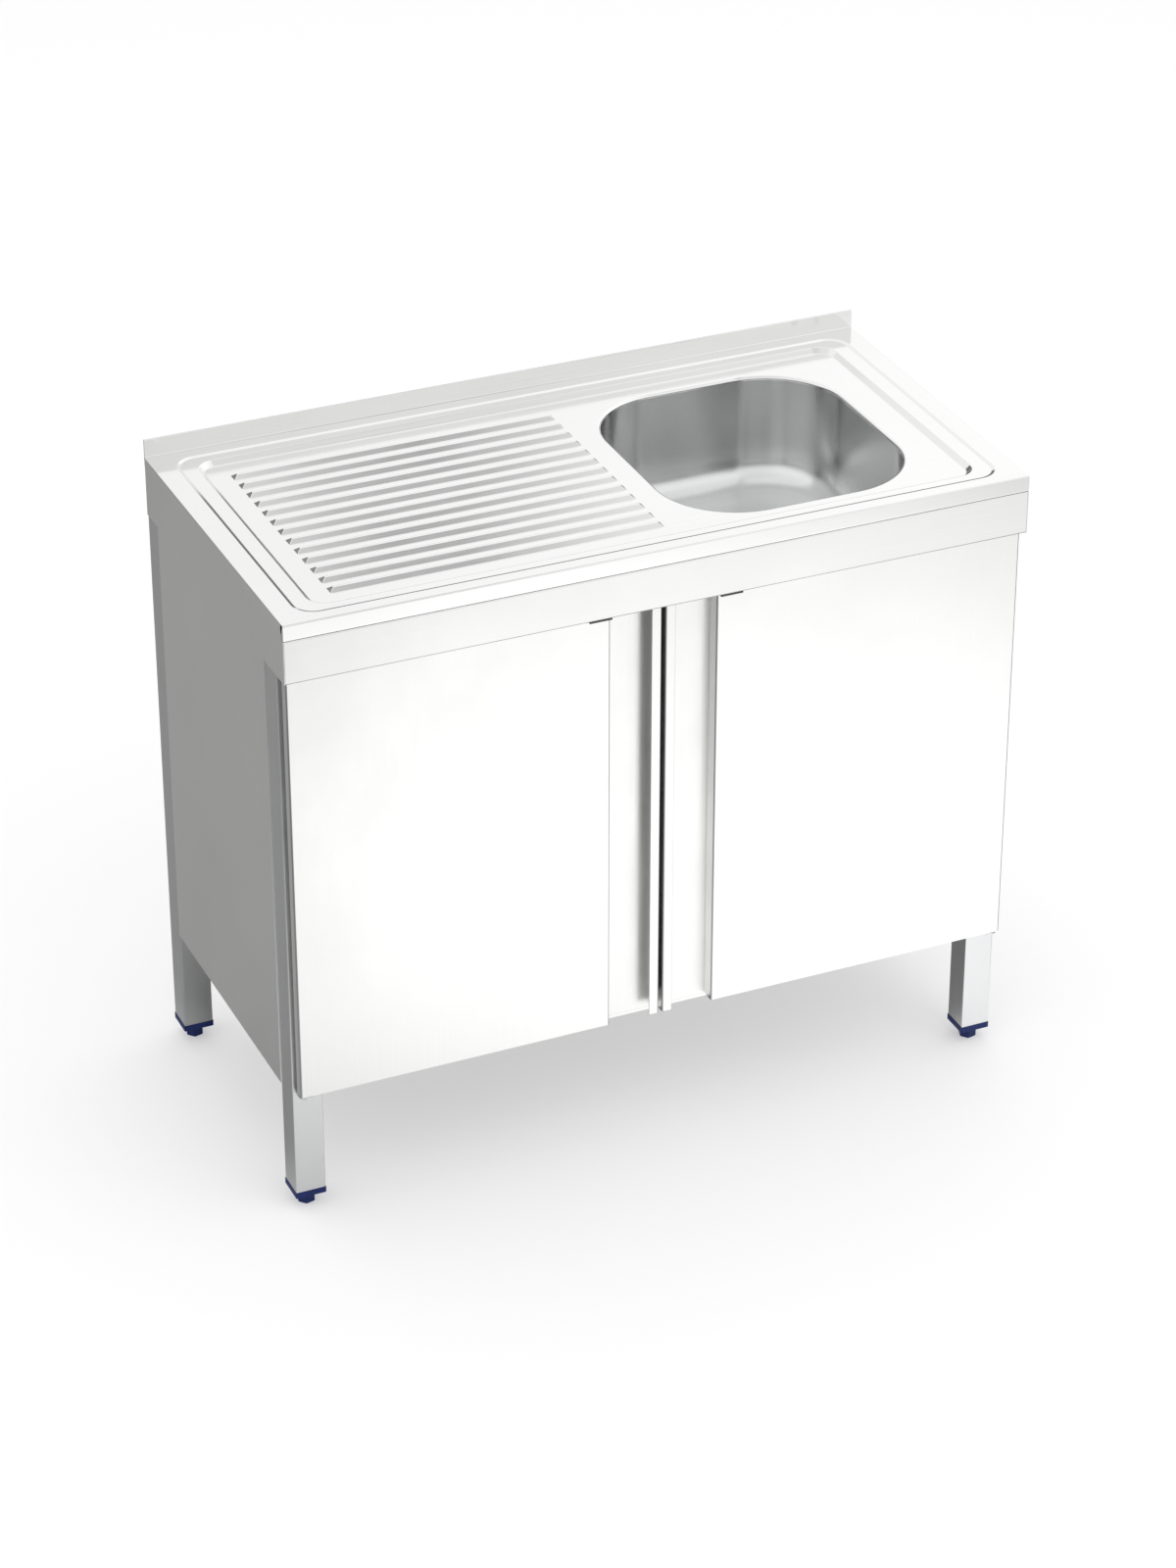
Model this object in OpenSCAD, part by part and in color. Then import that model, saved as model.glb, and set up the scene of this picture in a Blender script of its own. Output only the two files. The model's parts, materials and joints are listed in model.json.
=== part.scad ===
// Stainless steel sink unit: a pressed drainer top with one deep-drawn bowl on
// four square legs, with side panels, a bottom shelf and two swing doors that
// turn on pivot pins. Millimetres, +Z up, origin on the floor under the centre.

/* [Unit] */
// Width over the side panels
unit_w = 1000; // [900:10:1400]
// Depth from the front lip to the back of the upstand
unit_d = 500; // [480:5:560]
// Height of the worktop border above the floor
worktop_h = 860; // [800:5:950]
// Thickness of the worktop sheet
top_t = 1.2; // [0.8:0.1:1.5]
// Thickness of the panel and door sheets
sheet_t = 1; // [0.8:0.1:1.2]
// Inside radius of the folded edges
fold_r = 0.8; // [0.4:0.1:1.5]
// Gap left between parts that are slid in between others
fit_gap = 0.3; // [0.1:0.05:0.5]

/* [Worktop] */
// Height of the rear upstand above the worktop
upstand_h = 25; // [15:1:80]
// Thickness of the folded upstand
upstand_t = 2.4; // [2:0.1:15]
// Height of the front lip
lip_h = 22; // [16:1:30]
// Depth of the front lip from face to inner fold
lip_d = 8; // [6:0.5:12]
// Flat border outside the shallow step, at both ends
rim_end = 27.5; // [22:0.5:32]
// Flat border outside the shallow step, at the front
rim_front = 18; // [15:0.5:20]
// Flat border outside the shallow step, at the rear
rim_rear = 21; // [18:0.5:24]
// Corner radius of the shallow step
rim_r = 30; // [20:1:40]
// Drop of the shallow step
rim_drop = 1.5; // [1:0.1:2]
// Run of the shallow step
rim_run = 5; // [4:0.5:6]
// Border outside the deep step, at both ends
well_end = 51.5; // [48:0.5:60]
// Border outside the deep step, at the front
well_front = 36; // [34:0.5:40]
// Border outside the deep step, at the rear
well_rear = 38; // [36:0.5:42]
// Corner radius of the deep step
well_r = 27; // [20:1:35]
// Drop of the deep step
well_drop = 6; // [4.5:0.5:8]
// Run of the deep step
well_run = 8; // [7:0.5:10]
// Radius of the pressed edges of both steps
press_r = 2; // [1:0.1:2.2]

/* [Drainer] */
// Number of drainer ribs
rib_count = 13; // [9:1:13]
// Distance from rib to rib
rib_pitch = 28; // [24:0.5:28.5]
// Width of a rib at its foot
rib_base = 15.6; // [12:0.2:18]
// Height of a rib above the pan
rib_h = 4.9; // [3:0.1:5.5]
// Length of the slanted end of a rib
rib_hip = 6.8; // [5:0.2:12]
// Distance from the left side of the unit to the ribs
rib_start = 87; // [80:1:110]
// Distance from the ribs to the bowl
rib_to_bowl = 36; // [25:1:60]

/* [Bowl] */
// Inside width of the bowl
bowl_w = 332; // [290:1:350]
// Inside length of the bowl, front to back
bowl_l = 362; // [320:1:366]
// Depth of the bowl below the drainer pan
bowl_depth = 150; // [120:5:200]
// Corner radius of the bowl
bowl_r = 105; // [80:1:130]
// Radius between the wall and the floor of the bowl
bowl_fillet = 30; // [20:1:45]
// How much each wall leans inwards from top to floor
bowl_lean = 2; // [0:0.5:5]
// Wall thickness of the bowl
bowl_t = 1; // [0.8:0.1:1.5]
// Distance from the right side of the unit to the bowl wall
bowl_end = 105; // [95:1:130]
// Distance from the front lip to the bowl wall
bowl_front = 63.5; // [60:0.5:68]
// Radius of the turned edge around the bowl opening
bowl_edge_r = 4; // [3:0.5:6]
// Height of the welding collar under the turned edge
collar_h = 4; // [2:0.5:8]
// Fall of the bowl floor towards the waste
floor_fall = 4; // [2:0.5:6]
// Depth of the round recess for the waste
recess_h = 3.5; // [3:0.5:5]
// Radius of the round recess for the waste
recess_r = 44; // [42:1:50]

/* [Waste] */
// Radius of the hole in the bowl floor
waste_hole_r = 26; // [25:0.5:27]
// Outside radius of the threaded tail, one and a half inch pipe
tail_r = 23.9; // [22:0.1:24]
// Wall of the tail
tail_wall = 3.2; // [2.5:0.1:4]
// Length of the tail below its flange
tail_h = 50; // [35:1:70]
// Radius of the waste flanges
waste_flange_r = 38; // [35:0.5:40]
// Thickness of the flange of the tail
tail_flange_t = 3; // [2:0.5:4]
// Thickness of the strainer plate
strainer_t = 1.5; // [1:0.1:2]
// Thickness of each rubber seal
seal_t = 2; // [1.5:0.1:3]
// Number of drain holes in the strainer
drain_holes = 12; // [8:1:14]
// Radius of a drain hole
drain_hole_r = 3; // [2:0.1:3.4]
// Radius of the clamping screw
waste_screw_r = 3; // [2.5:0.1:4]

/* [Frame] */
// Width of the square leg tube
leg_w = 40; // [30:1:42]
// Wall of the leg tube
leg_wall = 1.2; // [1:0.1:2]
// Corner radius of the leg tube
leg_r = 1.5; // [1:0.5:4]
// Distance from the front lip to the front legs
leg_setback = 31.6; // [31.6:0.1:33]
// Height of the front band from the worktop to its lower edge
apron_h = 80; // [60:1:110]
// Shadow gap between the lip and the apron
seam = 0.4; // [0.2:0.1:1]
// Distance from the worktop to the bottom of the side panels
side_h = 688; // [600:1:700]
// Height of the top of the bottom shelf above the foot of the side panels
shelf_up = 34; // [24:1:60]
// Height of the folded edges of the bottom shelf
shelf_fold = 30; // [15:1:35]
// Width of the folded edges of the panels
flange_w = 15; // [10:1:20]
// Distance between the two drainer stiffeners
stiffener_pitch = 240; // [160:5:260]
// Height of the drainer stiffeners
stiffener_h = 18; // [12:1:30]
// Width of the crown of a stiffener
stiffener_w = 40; // [30:1:60]

/* [Feet] */
// Height of the hexagonal adjuster foot
foot_h = 18; // [14:1:30]
// Width across the flats of the adjuster foot
foot_af = 21.5; // [18:0.5:26]
// Thickness of the cap flange under the tube
cap_t = 8.3; // [5:0.1:12]
// How far the cap flange stands out around the tube
cap_lip = 0.7; // [0.3:0.1:0.9]
// Length of the cap plug inside the tube
plug_h = 30; // [25:1:45]
// Radius of the threaded stud of the foot
stud_r = 5; // [4:0.5:6]
// Length of the stud above the foot
stud_h = 38; // [34:1:50]
// Greatest travel of the adjuster foot
foot_travel = 25; // [15:1:25]
// Radial clearance of turning pins and studs
run_gap = 0.05; // [0.02:0.01:0.1]

/* [Doors] */
// Distance of the door face behind the front lip
door_recess = 10.2; // [9.5:0.1:10.5]
// Thickness of a door
door_t = 20; // [18:0.5:20]
// Distance of the door edge from the side of the unit
door_inset = 4.7; // [4.5:0.1:6]
// Gap between the two doors
meeting_gap = 5; // [4:0.5:8]
// Height of the lower edge of the doors above the foot of the side panels
door_up = 12; // [6:1:30]
// Width of the recessed grip, from the front skin to the meeting edge
grip_w = 69.7; // [60:0.1:90]
// Width of the hooked lip that the fingers pull
hook_w = 13.5; // [12:0.5:16]
// Depth of the side folds of the door skin
skin_fold = 15; // [13:0.5:15]
// Width of the stepped-back edge at the hinge side
rebate = 5; // [4.8:0.1:7]
// Distance of the pivot axis from the side of the unit
pivot_x = 14.2; // [14:0.1:15]
// Distance of the pivot axis behind the front lip
pivot_y = 20.3; // [19.5:0.1:20.5]
// Radius of the pivot pins
pin_r = 3; // [2.5:0.1:3.2]
// Wall of the pivot bushes
bush_wall = 1.7; // [1.2:0.1:1.7]
// Thickness of the pivot plates
plate_t = 3; // [2:0.5:4]
// Width of the pivot plates
plate_w = 18.3; // [16:0.5:18.5]
// Width of a catch magnet
magnet_w = 30; // [20:1:40]
// Thickness of a catch magnet
magnet_t = 2.4; // [2:0.1:4]
// Air gap between a magnet and its strike plate
catch_gap = 0.5; // [0.3:0.1:1]
// Thickness of a strike plate
strike_t = 0.8; // [0.5:0.1:1.2]

/* [Hidden] */

steel = [0.80, 0.81, 0.82];
satin = [0.70, 0.71, 0.73];
bright = [0.88, 0.89, 0.90];
navy = [0.06, 0.12, 0.33];
nylon = [0.90, 0.90, 0.88];
black = [0.10, 0.10, 0.11];

bend_steps = 4;
corner_steps = 9;
bowl_steps = 11;

// Outer faces of the unit
x_side = unit_w / 2;
y_front = -unit_d / 2;
y_rear = unit_d / 2;

// Levels of the pressed top
ledge_z = worktop_h - rim_drop;
pan_z = ledge_z - well_drop;
lip_z = worktop_h - lip_h;
apron_z = worktop_h - apron_h;
apron_top = lip_z - seam;
side_z = worktop_h - side_h;
shelf_z = side_z + shelf_up;
door_z = side_z + door_up;

// Bowl and drainer in plan
bowl_x = x_side - bowl_end - bowl_w / 2;
bowl_y = y_front + bowl_front + bowl_l / 2;
rib_x0 = -x_side + rib_start;
rib_x1 = bowl_x - bowl_w / 2 - rib_to_bowl;
rib_len = rib_x1 - rib_x0;
bowl_top = pan_z - bowl_edge_r - collar_h;
floor_z = pan_z - bowl_depth;
recess_z = floor_z - floor_fall - recess_h;

// Legs: the tubes stand inside the side panels
leg_x = x_side - sheet_t - leg_w / 2;
leg_front_y = y_front + leg_setback + leg_w / 2;
leg_rear_y = y_rear - top_t - leg_w / 2;
leg_top = ledge_z - top_t;
cap_z = foot_h + fit_gap;
tube_z = cap_z + cap_t;
between_legs = leg_x - leg_w / 2 - fit_gap;

// Doors, drawn at the left and mirrored
door_x0 = -x_side + door_inset;
door_x1 = -meeting_gap / 2;
skin_x1 = door_x1 - grip_w;
door_y0 = y_front + door_recess;
door_y1 = door_y0 + door_t;
door_top = apron_z - magnet_t - catch_gap - strike_t;
pin_x = -x_side + pivot_x;
pin_y = y_front + pivot_y;
bush_r = pin_r + run_gap + bush_wall;
bush_flange_r = bush_r + 2.2;
bush_flange_t = 1;
bush_h = 12;
magnet_x = skin_x1 - 1.2 - magnet_w / 2;
plate_z = door_z - bush_flange_t - fit_gap;
magnet_stud_r = 2;
magnet_stud_x = magnet_w / 2 - 6;
magnet_stud_y = 8;
shelf_setback = 1.4;

// Waste: levels of the strainer and of the tail, and the holes of both seals
strainer_z = recess_z + seal_t;
strainer_dish = 0.8;
tail_z = recess_z - bowl_t - seal_t;
tail_boss_h = 14;
seal_in_r = waste_hole_r + 1;

// Ribs: where the crest rounds off, as shares of the half foot and of the height,
// how far the ridge sinks when the faces move in, and the stretched sheet's thickness
rib_crest = [[0.14, 0.86], [0.07, 0.96]];
ridge_sink = 1.2;
rib_t = 0.9;

// Turn a direction by an angle, and its left-hand normal
function turned(v, a) = [v.x * cos(a) - v.y * sin(a), v.x * sin(a) + v.y * cos(a)];
function left_of(v) = [-v.y, v.x];
function unit(v) = v / norm(v);

// One side of a folded sheet: its centre line path, moved to the left by off
function bend(p, u, v, off, rc) =
    let (a = atan2(u.x * v.y - u.y * v.x, u * v), s = sign(a), d = rc * tan(abs(a) / 2),
         c = p - u * d + left_of(u) * s * rc)
    [for (k = [0 : bend_steps]) c - left_of(turned(u, a * k / bend_steps)) * (s * rc - off)];
function side_of(path, off, rc) =
    let (n = len(path), dir = [for (i = [0 : n - 2]) unit(path[i + 1] - path[i])])
    concat([path[0] + left_of(dir[0]) * off],
           [for (i = [1 : 1 : n - 2]) each bend(path[i], dir[i - 1], dir[i], off, rc)],
           [path[n - 1] + left_of(dir[n - 2]) * off]);
function reversed(list) = [for (i = [len(list) - 1 : -1 : 0]) list[i]];

// Cross-section of a folded sheet of thickness t along its centre line
module folded(path, t = sheet_t) {
    rc = fold_r + t / 2;
    polygon(concat(side_of(path, t / 2, rc), reversed(side_of(path, -t / 2, rc))));
}

// The same, in the YZ plane and drawn out along X between x0 and x1
module folded_rail(path, x0, x1, t = sheet_t) {
    translate([x0, 0, 0]) rotate([90, 0, 90]) linear_extrude(x1 - x0) folded(path, t);
}

// Rounded rectangle as a closed ring of points at height z
function ring(cx, cy, hx, hy, r, z, steps) =
    [for (q = [0 : 3], k = [0 : steps])
        let (a = 90 * q + 90 * k / steps,
             sx = (q == 0 || q == 3) ? 1 : -1, sy = (q < 2) ? 1 : -1)
        [cx + sx * (hx - r) + r * cos(a), cy + sy * (hy - r) + r * sin(a), z]];

// Skin a list of rings that goes up on the outside: closed at both ends, or joined end to start
function ring_faces(rings, n, capped) =
    concat([for (i = [0 : rings - (capped ? 2 : 1)], j = [0 : n - 1])
                let (i1 = (i + 1) % rings, j1 = (j + 1) % n)
                [i * n + j, i1 * n + j, i1 * n + j1, i * n + j1]],
           capped ? [[for (j = [0 : n - 1]) j], [for (j = [n - 1 : -1 : 0]) (rings - 1) * n + j]] : []);
module loft(rings, capped = true) {
    n = len(rings[0]);
    polyhedron([for (r = rings) each r], ring_faces(len(rings), n, capped), convexity = 8);
}

// Pressed step: run and drop with rounded edges, as [run, fall] points
function step_angle(run, drop, r) =
    atan2(drop - 2 * r, run) + asin(2 * r / norm([run, drop - 2 * r]));
function step_points(run, drop, r) =
    let (a = step_angle(run, drop, r), n = 3)
    concat([for (k = [0 : n]) let (b = a * k / n) [r * sin(b), r * (1 - cos(b))]],
           [for (k = [n : -1 : 0]) let (b = a * k / n) [run - r * sin(b), drop - r * (1 - cos(b))]]);

// Outline of the shallow step and of the deep step, moved inwards by s
function rim_ring(s, z) =
    ring(0, (rim_front - rim_rear) / 2, x_side - rim_end - s,
         (unit_d - rim_front - rim_rear) / 2 - s, rim_r - s, z, corner_steps);
function well_ring(s, z) =
    ring(0, (well_front - well_rear) / 2, x_side - well_end - s,
         (unit_d - well_front - well_rear) / 2 - s, well_r - s, z, corner_steps);

// Both steps pressed in one sheet, as a closed shell of thickness top_t
module pressed_sheet() {
    edge_r = 0.6;
    y_lip = y_front + fold_r + top_t;
    outer = ring(0, (y_lip + y_rear) / 2, x_side, (y_rear - y_lip) / 2, edge_r, 0, corner_steps);
    rim = step_points(rim_run, rim_drop, press_r);
    well = step_points(well_run, well_drop, press_r);
    top = concat([[for (p = outer) [p.x, p.y, worktop_h]]],
                 [for (p = rim) rim_ring(p[0], worktop_h - p[1])],
                 [for (p = well) well_ring(p[0], ledge_z - p[1])]);
    under = [for (r = top) [for (p = r) [p.x, p.y, p.z - top_t]]];
    loft(concat(reversed(under), top));
}

// Rib section above the pan, shrunk by s on every face, down to depth low
function rib_section(s, low) =
    let (b = rib_base / 2 - s, h = rib_h - ridge_sink * s)
    [[-b, low], [-b, 0], for (c = rib_crest) [-c[0] * b, c[1] * h], [0, h],
     for (c = reversed(rib_crest)) [c[0] * b, c[1] * h], [b, 0], [b, low]];

// Hipped rib along X: its ends slant up to the ridge
module rib(s, low) {
    section = reversed(rib_section(s, low));
    ends = [for (p = section) rib_hip * max(p[1], 0) / rib_h + s];
    n = len(section);
    loft([[for (i = [0 : n - 1]) [ends[i], section[i][0], section[i][1]]],
          [for (i = [0 : n - 1]) [rib_len - ends[i], section[i][0], section[i][1]]]]);
}
module ribs(s, low) {
    for (i = [0 : rib_count - 1])
        translate([rib_x0, bowl_y + (i - (rib_count - 1) / 2) * rib_pitch, pan_z]) rib(s, low);
}

// Bowl outline moved outwards by off
function bowl_ring(off, z) =
    ring(bowl_x, bowl_y, bowl_w / 2 + off, bowl_l / 2 + off, bowl_r + off, z, bowl_steps);

// Turned edge of the opening with the collar that the bowl is welded to
module bowl_collar() {
    r = bowl_edge_r;
    flat = 2;
    n = 5;
    face = [for (k = [0 : n]) let (a = 90 * k / n) [r - r * sin(a), -r + r * cos(a)]];
    inner = concat([[r + flat, 0]], face, [[0, -r - collar_h]]);
    back = [for (k = [0 : n]) let (a = 90 * k / n)
        [r - (r - top_t) * sin(a), -r + (r - top_t) * cos(a)]];
    outer = concat([[r + flat, -top_t]], back, [[top_t, -r - collar_h]]);
    loft([for (p = concat(inner, reversed(outer))) bowl_ring(p[0], pan_z + p[1])], false);
}

module bowl_cut(off) {
    below = top_t + 1;
    loft([bowl_ring(off, pan_z - below), bowl_ring(off, pan_z + 1)]);
}

module front_lip() {
    half = top_t / 2;
    inner_fold = 9;
    lap = 4;
    folded_rail([[y_front + lip_d - half, lip_z + inner_fold], [y_front + lip_d - half, lip_z + half],
                 [y_front + half, lip_z + half], [y_front + half, worktop_h - half],
                 [y_front + lip_d + lap, worktop_h - half]], -x_side, x_side, top_t);
    for (s = [-1, 1]) translate([s * (x_side - top_t / 2), y_front + lip_d / 2, lip_z + lip_h / 2])
        cube([top_t, lip_d - 2 * fold_r, lip_h - 2 * fold_r], center = true);
}

module upstand() {
    tail = 12;
    r = upstand_t / 2;
    translate([-x_side, 0, 0]) rotate([90, 0, 90]) linear_extrude(unit_w) {
        translate([y_rear - upstand_t, worktop_h - top_t]) square([upstand_t, upstand_h + top_t - r]);
        translate([y_rear - r, worktop_h + upstand_h - r]) circle(r, $fn = 24);
        translate([y_rear - top_t, worktop_h - tail]) square([top_t, tail]);
    }
}

module worktop() {
    color(bright) difference() {
        union() {
            difference() {
                pressed_sheet();
                bowl_cut(bowl_edge_r + 1);
            }
            bowl_collar();
            front_lip();
            upstand();
            ribs(0, -top_t / 2);
        }
        ribs(rib_t, -top_t - 1);
    }
}

// Deep-drawn bowl: walls, filleted floor that falls to a round waste recess
function bowl_skin(t) =
    let (f = bowl_fillet + t, lean = bowl_lean, hx = bowl_w / 2 - lean + t, hy = bowl_l / 2 - lean + t,
         r = bowl_r - lean + t, z = floor_z - t, n = 7, least_r = 20, rr = recess_r + t,
         recess_foot = [[6, -recess_h], [2, 0.6 - recess_h], [0, 0]])
    concat([for (p = recess_foot)
               ring(bowl_x, bowl_y, rr - p[0], rr - p[0], rr - p[0], z - floor_fall + p[1], bowl_steps)],
           [for (k = [0 : n]) let (a = 90 * k / n)
               ring(bowl_x, bowl_y, hx - f * (1 - sin(a)), hy - f * (1 - sin(a)),
                    max(r - f * (1 - sin(a)), least_r), z + f * (1 - cos(a)), bowl_steps)],
           [bowl_ring(t, bowl_top)]);

module bowl() {
    color(satin) difference() {
        loft(concat(bowl_skin(bowl_t), reversed(bowl_skin(0))));
        translate([bowl_x, bowl_y, recess_z - bowl_t - 1]) cylinder(h = bowl_t + 2, r = waste_hole_r);
    }
}

// Hat-section stiffeners under the pan, from front to back
module drainer_stiffeners() {
    half = sheet_t / 2;
    top = pan_z - top_t;
    side = stiffener_w / 2;
    foot = 14;
    clear = 4;
    y0 = y_front + well_front + well_run + clear;
    y1 = y_rear - well_rear - well_run - clear;
    color(satin) for (s = [-1, 1]) translate([(rib_x0 + rib_x1) / 2 + s * stiffener_pitch / 2, y1, 0])
        rotate([90, 0, 0]) linear_extrude(y1 - y0)
            folded([[-side - foot, top - half], [-side, top - half], [-side, top - stiffener_h],
                    [side, top - stiffener_h], [side, top - half], [side + foot, top - half]]);
}

// Apron: face, top fold, and a bottom fold that reaches back to the legs
module front_rail() {
    half = sheet_t / 2;
    y0 = y_front + fit_gap;
    y1 = y_front + leg_setback;
    x1 = x_side - sheet_t - fit_gap;
    end_clear = 2;
    top_fold_end = 6;
    color(steel) difference() {
        union() {
            folded_rail([[y1 - top_fold_end, apron_top - half], [y0 + half, apron_top - half],
                         [y0 + half, apron_z + half], [y1, apron_z + half]], -x1, x1);
            for (s = [-1, 1])
                translate([s * (x1 - half), (y0 + y1 + end_clear) / 2, (apron_z + apron_top) / 2])
                    cube([sheet_t, y1 - y0 - end_clear, apron_top - apron_z - 2 * sheet_t], center = true);
        }
        for (s = [-1, 1]) {
            translate([s * pin_x, pin_y, apron_z - 1]) cylinder(h = sheet_t + 2, r = pin_r + run_gap);
            for (d = [-1, 1])
                translate([s * magnet_x + d * magnet_stud_x, y_front + magnet_stud_y, apron_z - 1])
                    cylinder(h = sheet_t + 2, r = magnet_stud_r + run_gap);
        }
    }
}

module rear_rail() {
    half = sheet_t / 2;
    y1 = y_rear - top_t;
    z0 = apron_z + fit_gap;
    below = 2;
    z1 = pan_z - top_t - below;
    depth = 30;
    color(satin) folded_rail([[y1 - depth, z1 - half], [y1 - half, z1 - half],
                              [y1 - half, z0 + half], [y1 - depth, z0 + half]],
                             -between_legs, between_legs);
}

// Side panel: a full-depth band at the top, and a leaf between the legs below it
module side_panel() {
    y0 = leg_front_y + leg_w / 2;
    y1 = leg_rear_y - leg_w / 2;
    yb = y_rear - top_t - fit_gap;
    yf = y_front + fit_gap;
    notch = y_front + lip_d + fit_gap;
    top = worktop_h - top_t;
    x0 = -x_side;
    color(steel) {
        translate([x0, 0, 0]) rotate([90, 0, 90]) linear_extrude(sheet_t)
            polygon([[yf, apron_z], [yf, apron_top], [notch, apron_top], [notch, top], [yb, top],
                     [yb, apron_z], [y1, apron_z], [y1, side_z], [y0, side_z], [y0, apron_z]]);
        for (y = [y0, y1 - sheet_t]) translate([x0, y, side_z])
            cube([flange_w, sheet_t, apron_z - side_z]);
        translate([x0, y0, side_z]) cube([flange_w, y1 - y0, sheet_t]);
    }
}

module back_panel() {
    half = sheet_t / 2;
    y1 = y_rear - top_t - half;
    z0 = shelf_z + fit_gap;
    x1 = between_legs;
    color(satin) translate([0, 0, z0]) linear_extrude(apron_z - z0)
        folded([[-x1 + half, y1 - flange_w], [-x1 + half, y1], [x1 - half, y1], [x1 - half, y1 - flange_w]]);
}

// Shelf with folded edges, notched around the four legs
module bottom_shelf() {
    half = sheet_t / 2;
    y0 = y_front + leg_setback + shelf_setback;
    y1 = y_rear - top_t - sheet_t - fit_gap;
    ys0 = leg_front_y + leg_w / 2 + sheet_t + fit_gap;
    ys1 = leg_rear_y - leg_w / 2 - sheet_t - fit_gap;
    xs = x_side - sheet_t - fit_gap;
    z0 = shelf_z - shelf_fold;
    color(satin) {
        folded_rail([[y0 + flange_w, z0 + half], [y0 + half, z0 + half], [y0 + half, shelf_z - half],
                     [y1 - half, shelf_z - half], [y1 - half, z0 + half]], -between_legs, between_legs);
        for (s = [-1, 1]) {
            x0 = (s < 0) ? -xs : between_legs - 1;
            translate([x0, ys0, shelf_z - sheet_t]) cube([xs - between_legs + 1, ys1 - ys0, sheet_t]);
            translate([s * (xs - half) - half, ys0, z0]) cube([sheet_t, ys1 - ys0, shelf_fold]);
        }
    }
}

// Square tube with rounded corners
function tube_ring(w, r) = [for (p = ring(0, 0, w / 2, w / 2, r, 0, 5)) [p.x, p.y]];
module leg() {
    color(satin) translate([0, 0, tube_z]) linear_extrude(leg_top - tube_z) difference() {
        polygon(tube_ring(leg_w, leg_r));
        polygon(tube_ring(leg_w - 2 * leg_wall, max(leg_r - leg_wall, 0.5)));
    }
}

// Plastic cap: flange under the tube, ribbed plug inside it, threaded boss
module leg_cap() {
    inside = leg_w - 2 * leg_wall - 2 * fit_gap;
    wall = 2;
    boss_r = stud_r + 4;
    color(navy) difference() {
        union() {
            translate([0, 0, cap_z]) linear_extrude(cap_t) polygon(tube_ring(leg_w + 2 * cap_lip, leg_r));
            translate([0, 0, tube_z - 1]) linear_extrude(plug_h + 1) difference() {
                polygon(tube_ring(inside, leg_r));
                square(inside - 2 * wall, center = true);
            }
            for (a = [0, 90]) rotate([0, 0, a]) translate([1 - inside / 2, -wall / 2, tube_z - 1])
                cube([inside - 2, wall, plug_h + 1]);
            translate([0, 0, tube_z - 1]) cylinder(h = plug_h + 1, r = boss_r);
        }
        translate([0, 0, cap_z - 1]) cylinder(h = cap_t + plug_h + 2, r = stud_r + run_gap);
    }
}

// Adjuster foot: hexagon to turn by hand, with its threaded stud
module foot() {
    chamfer = 1.5;
    turn = 12;
    across = foot_af / cos(30);
    color(navy) {
        rotate([0, 0, turn]) {
            translate([0, 0, chamfer]) cylinder(h = foot_h - chamfer, d = across, $fn = 6);
            cylinder(h = chamfer + 0.01, d1 = across - 2 * chamfer, d2 = across, $fn = 6);
        }
        translate([0, 0, foot_h - 1]) cylinder(h = stud_h + 1, r = stud_r);
    }
}

// Waste: strainer, seals, tail and the screw that clamps them to the bowl
module at_waste(z) {
    translate([bowl_x, bowl_y, z]) children();
}

module strainer() {
    hole_ring = waste_hole_r * 0.62;
    r0 = waste_hole_r - 3;
    r1 = waste_hole_r + 1;
    low = strainer_t - strainer_dish;
    color(bright) at_waste(strainer_z) difference() {
        rotate_extrude($fn = 64) polygon([[0, -strainer_dish], [r0, -strainer_dish], [r1, 0],
            [waste_flange_r, 0], [waste_flange_r, strainer_t * 0.6], [waste_flange_r - 1, strainer_t],
            [r1, strainer_t], [r0, low], [0, low]]);
        translate([0, 0, -2]) cylinder(h = 6, r = waste_screw_r + run_gap);
        for (i = [0 : drain_holes - 1]) rotate([0, 0, 360 * i / drain_holes])
            translate([hole_ring, 0, -2]) cylinder(h = 6, r = drain_hole_r, $fn = 24);
    }
}

module strainer_seal() {
    color(black) at_waste(recess_z) difference() {
        cylinder(h = seal_t, r = waste_flange_r - 1);
        translate([0, 0, -1]) cylinder(h = seal_t + 2, r = seal_in_r);
    }
}

module waste_seal() {
    color(black) at_waste(tail_z) difference() {
        cylinder(h = seal_t, r = waste_flange_r);
        translate([0, 0, -1]) cylinder(h = seal_t + 2, r = seal_in_r);
    }
}

module waste_tail() {
    bore = tail_r - tail_wall;
    web = 3;
    web_h = 8;
    boss_r = waste_screw_r + 2.5;
    color(black) at_waste(tail_z) {
        difference() {
            union() {
                translate([0, 0, -tail_flange_t]) cylinder(h = tail_flange_t, r = waste_flange_r);
                translate([0, 0, -tail_flange_t - tail_h]) cylinder(h = tail_flange_t + tail_h, r = tail_r);
            }
            translate([0, 0, -tail_flange_t - tail_h - 1])
                cylinder(h = tail_flange_t + tail_h + 2, r = bore);
        }
        difference() {
            union() {
                for (a = [0, 90]) rotate([0, 0, a]) translate([-bore - 0.5, -web / 2, -web_h])
                    cube([2 * bore + 1, web, web_h]);
                translate([0, 0, -tail_boss_h]) cylinder(h = tail_boss_h, r = boss_r);
            }
            translate([0, 0, -tail_boss_h - 1]) cylinder(h = tail_boss_h + 2, r = waste_screw_r + run_gap);
        }
    }
}

module waste_screw() {
    reach = strainer_z - tail_z + tail_boss_h - 2;
    head_h = 1.6;
    color(bright) at_waste(strainer_z + strainer_t - strainer_dish) {
        cylinder(h = head_h, r1 = waste_screw_r + 3, r2 = waste_screw_r + 1.5);
        translate([0, 0, -reach]) cylinder(h = reach + 0.5, r = waste_screw_r);
    }
}

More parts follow.
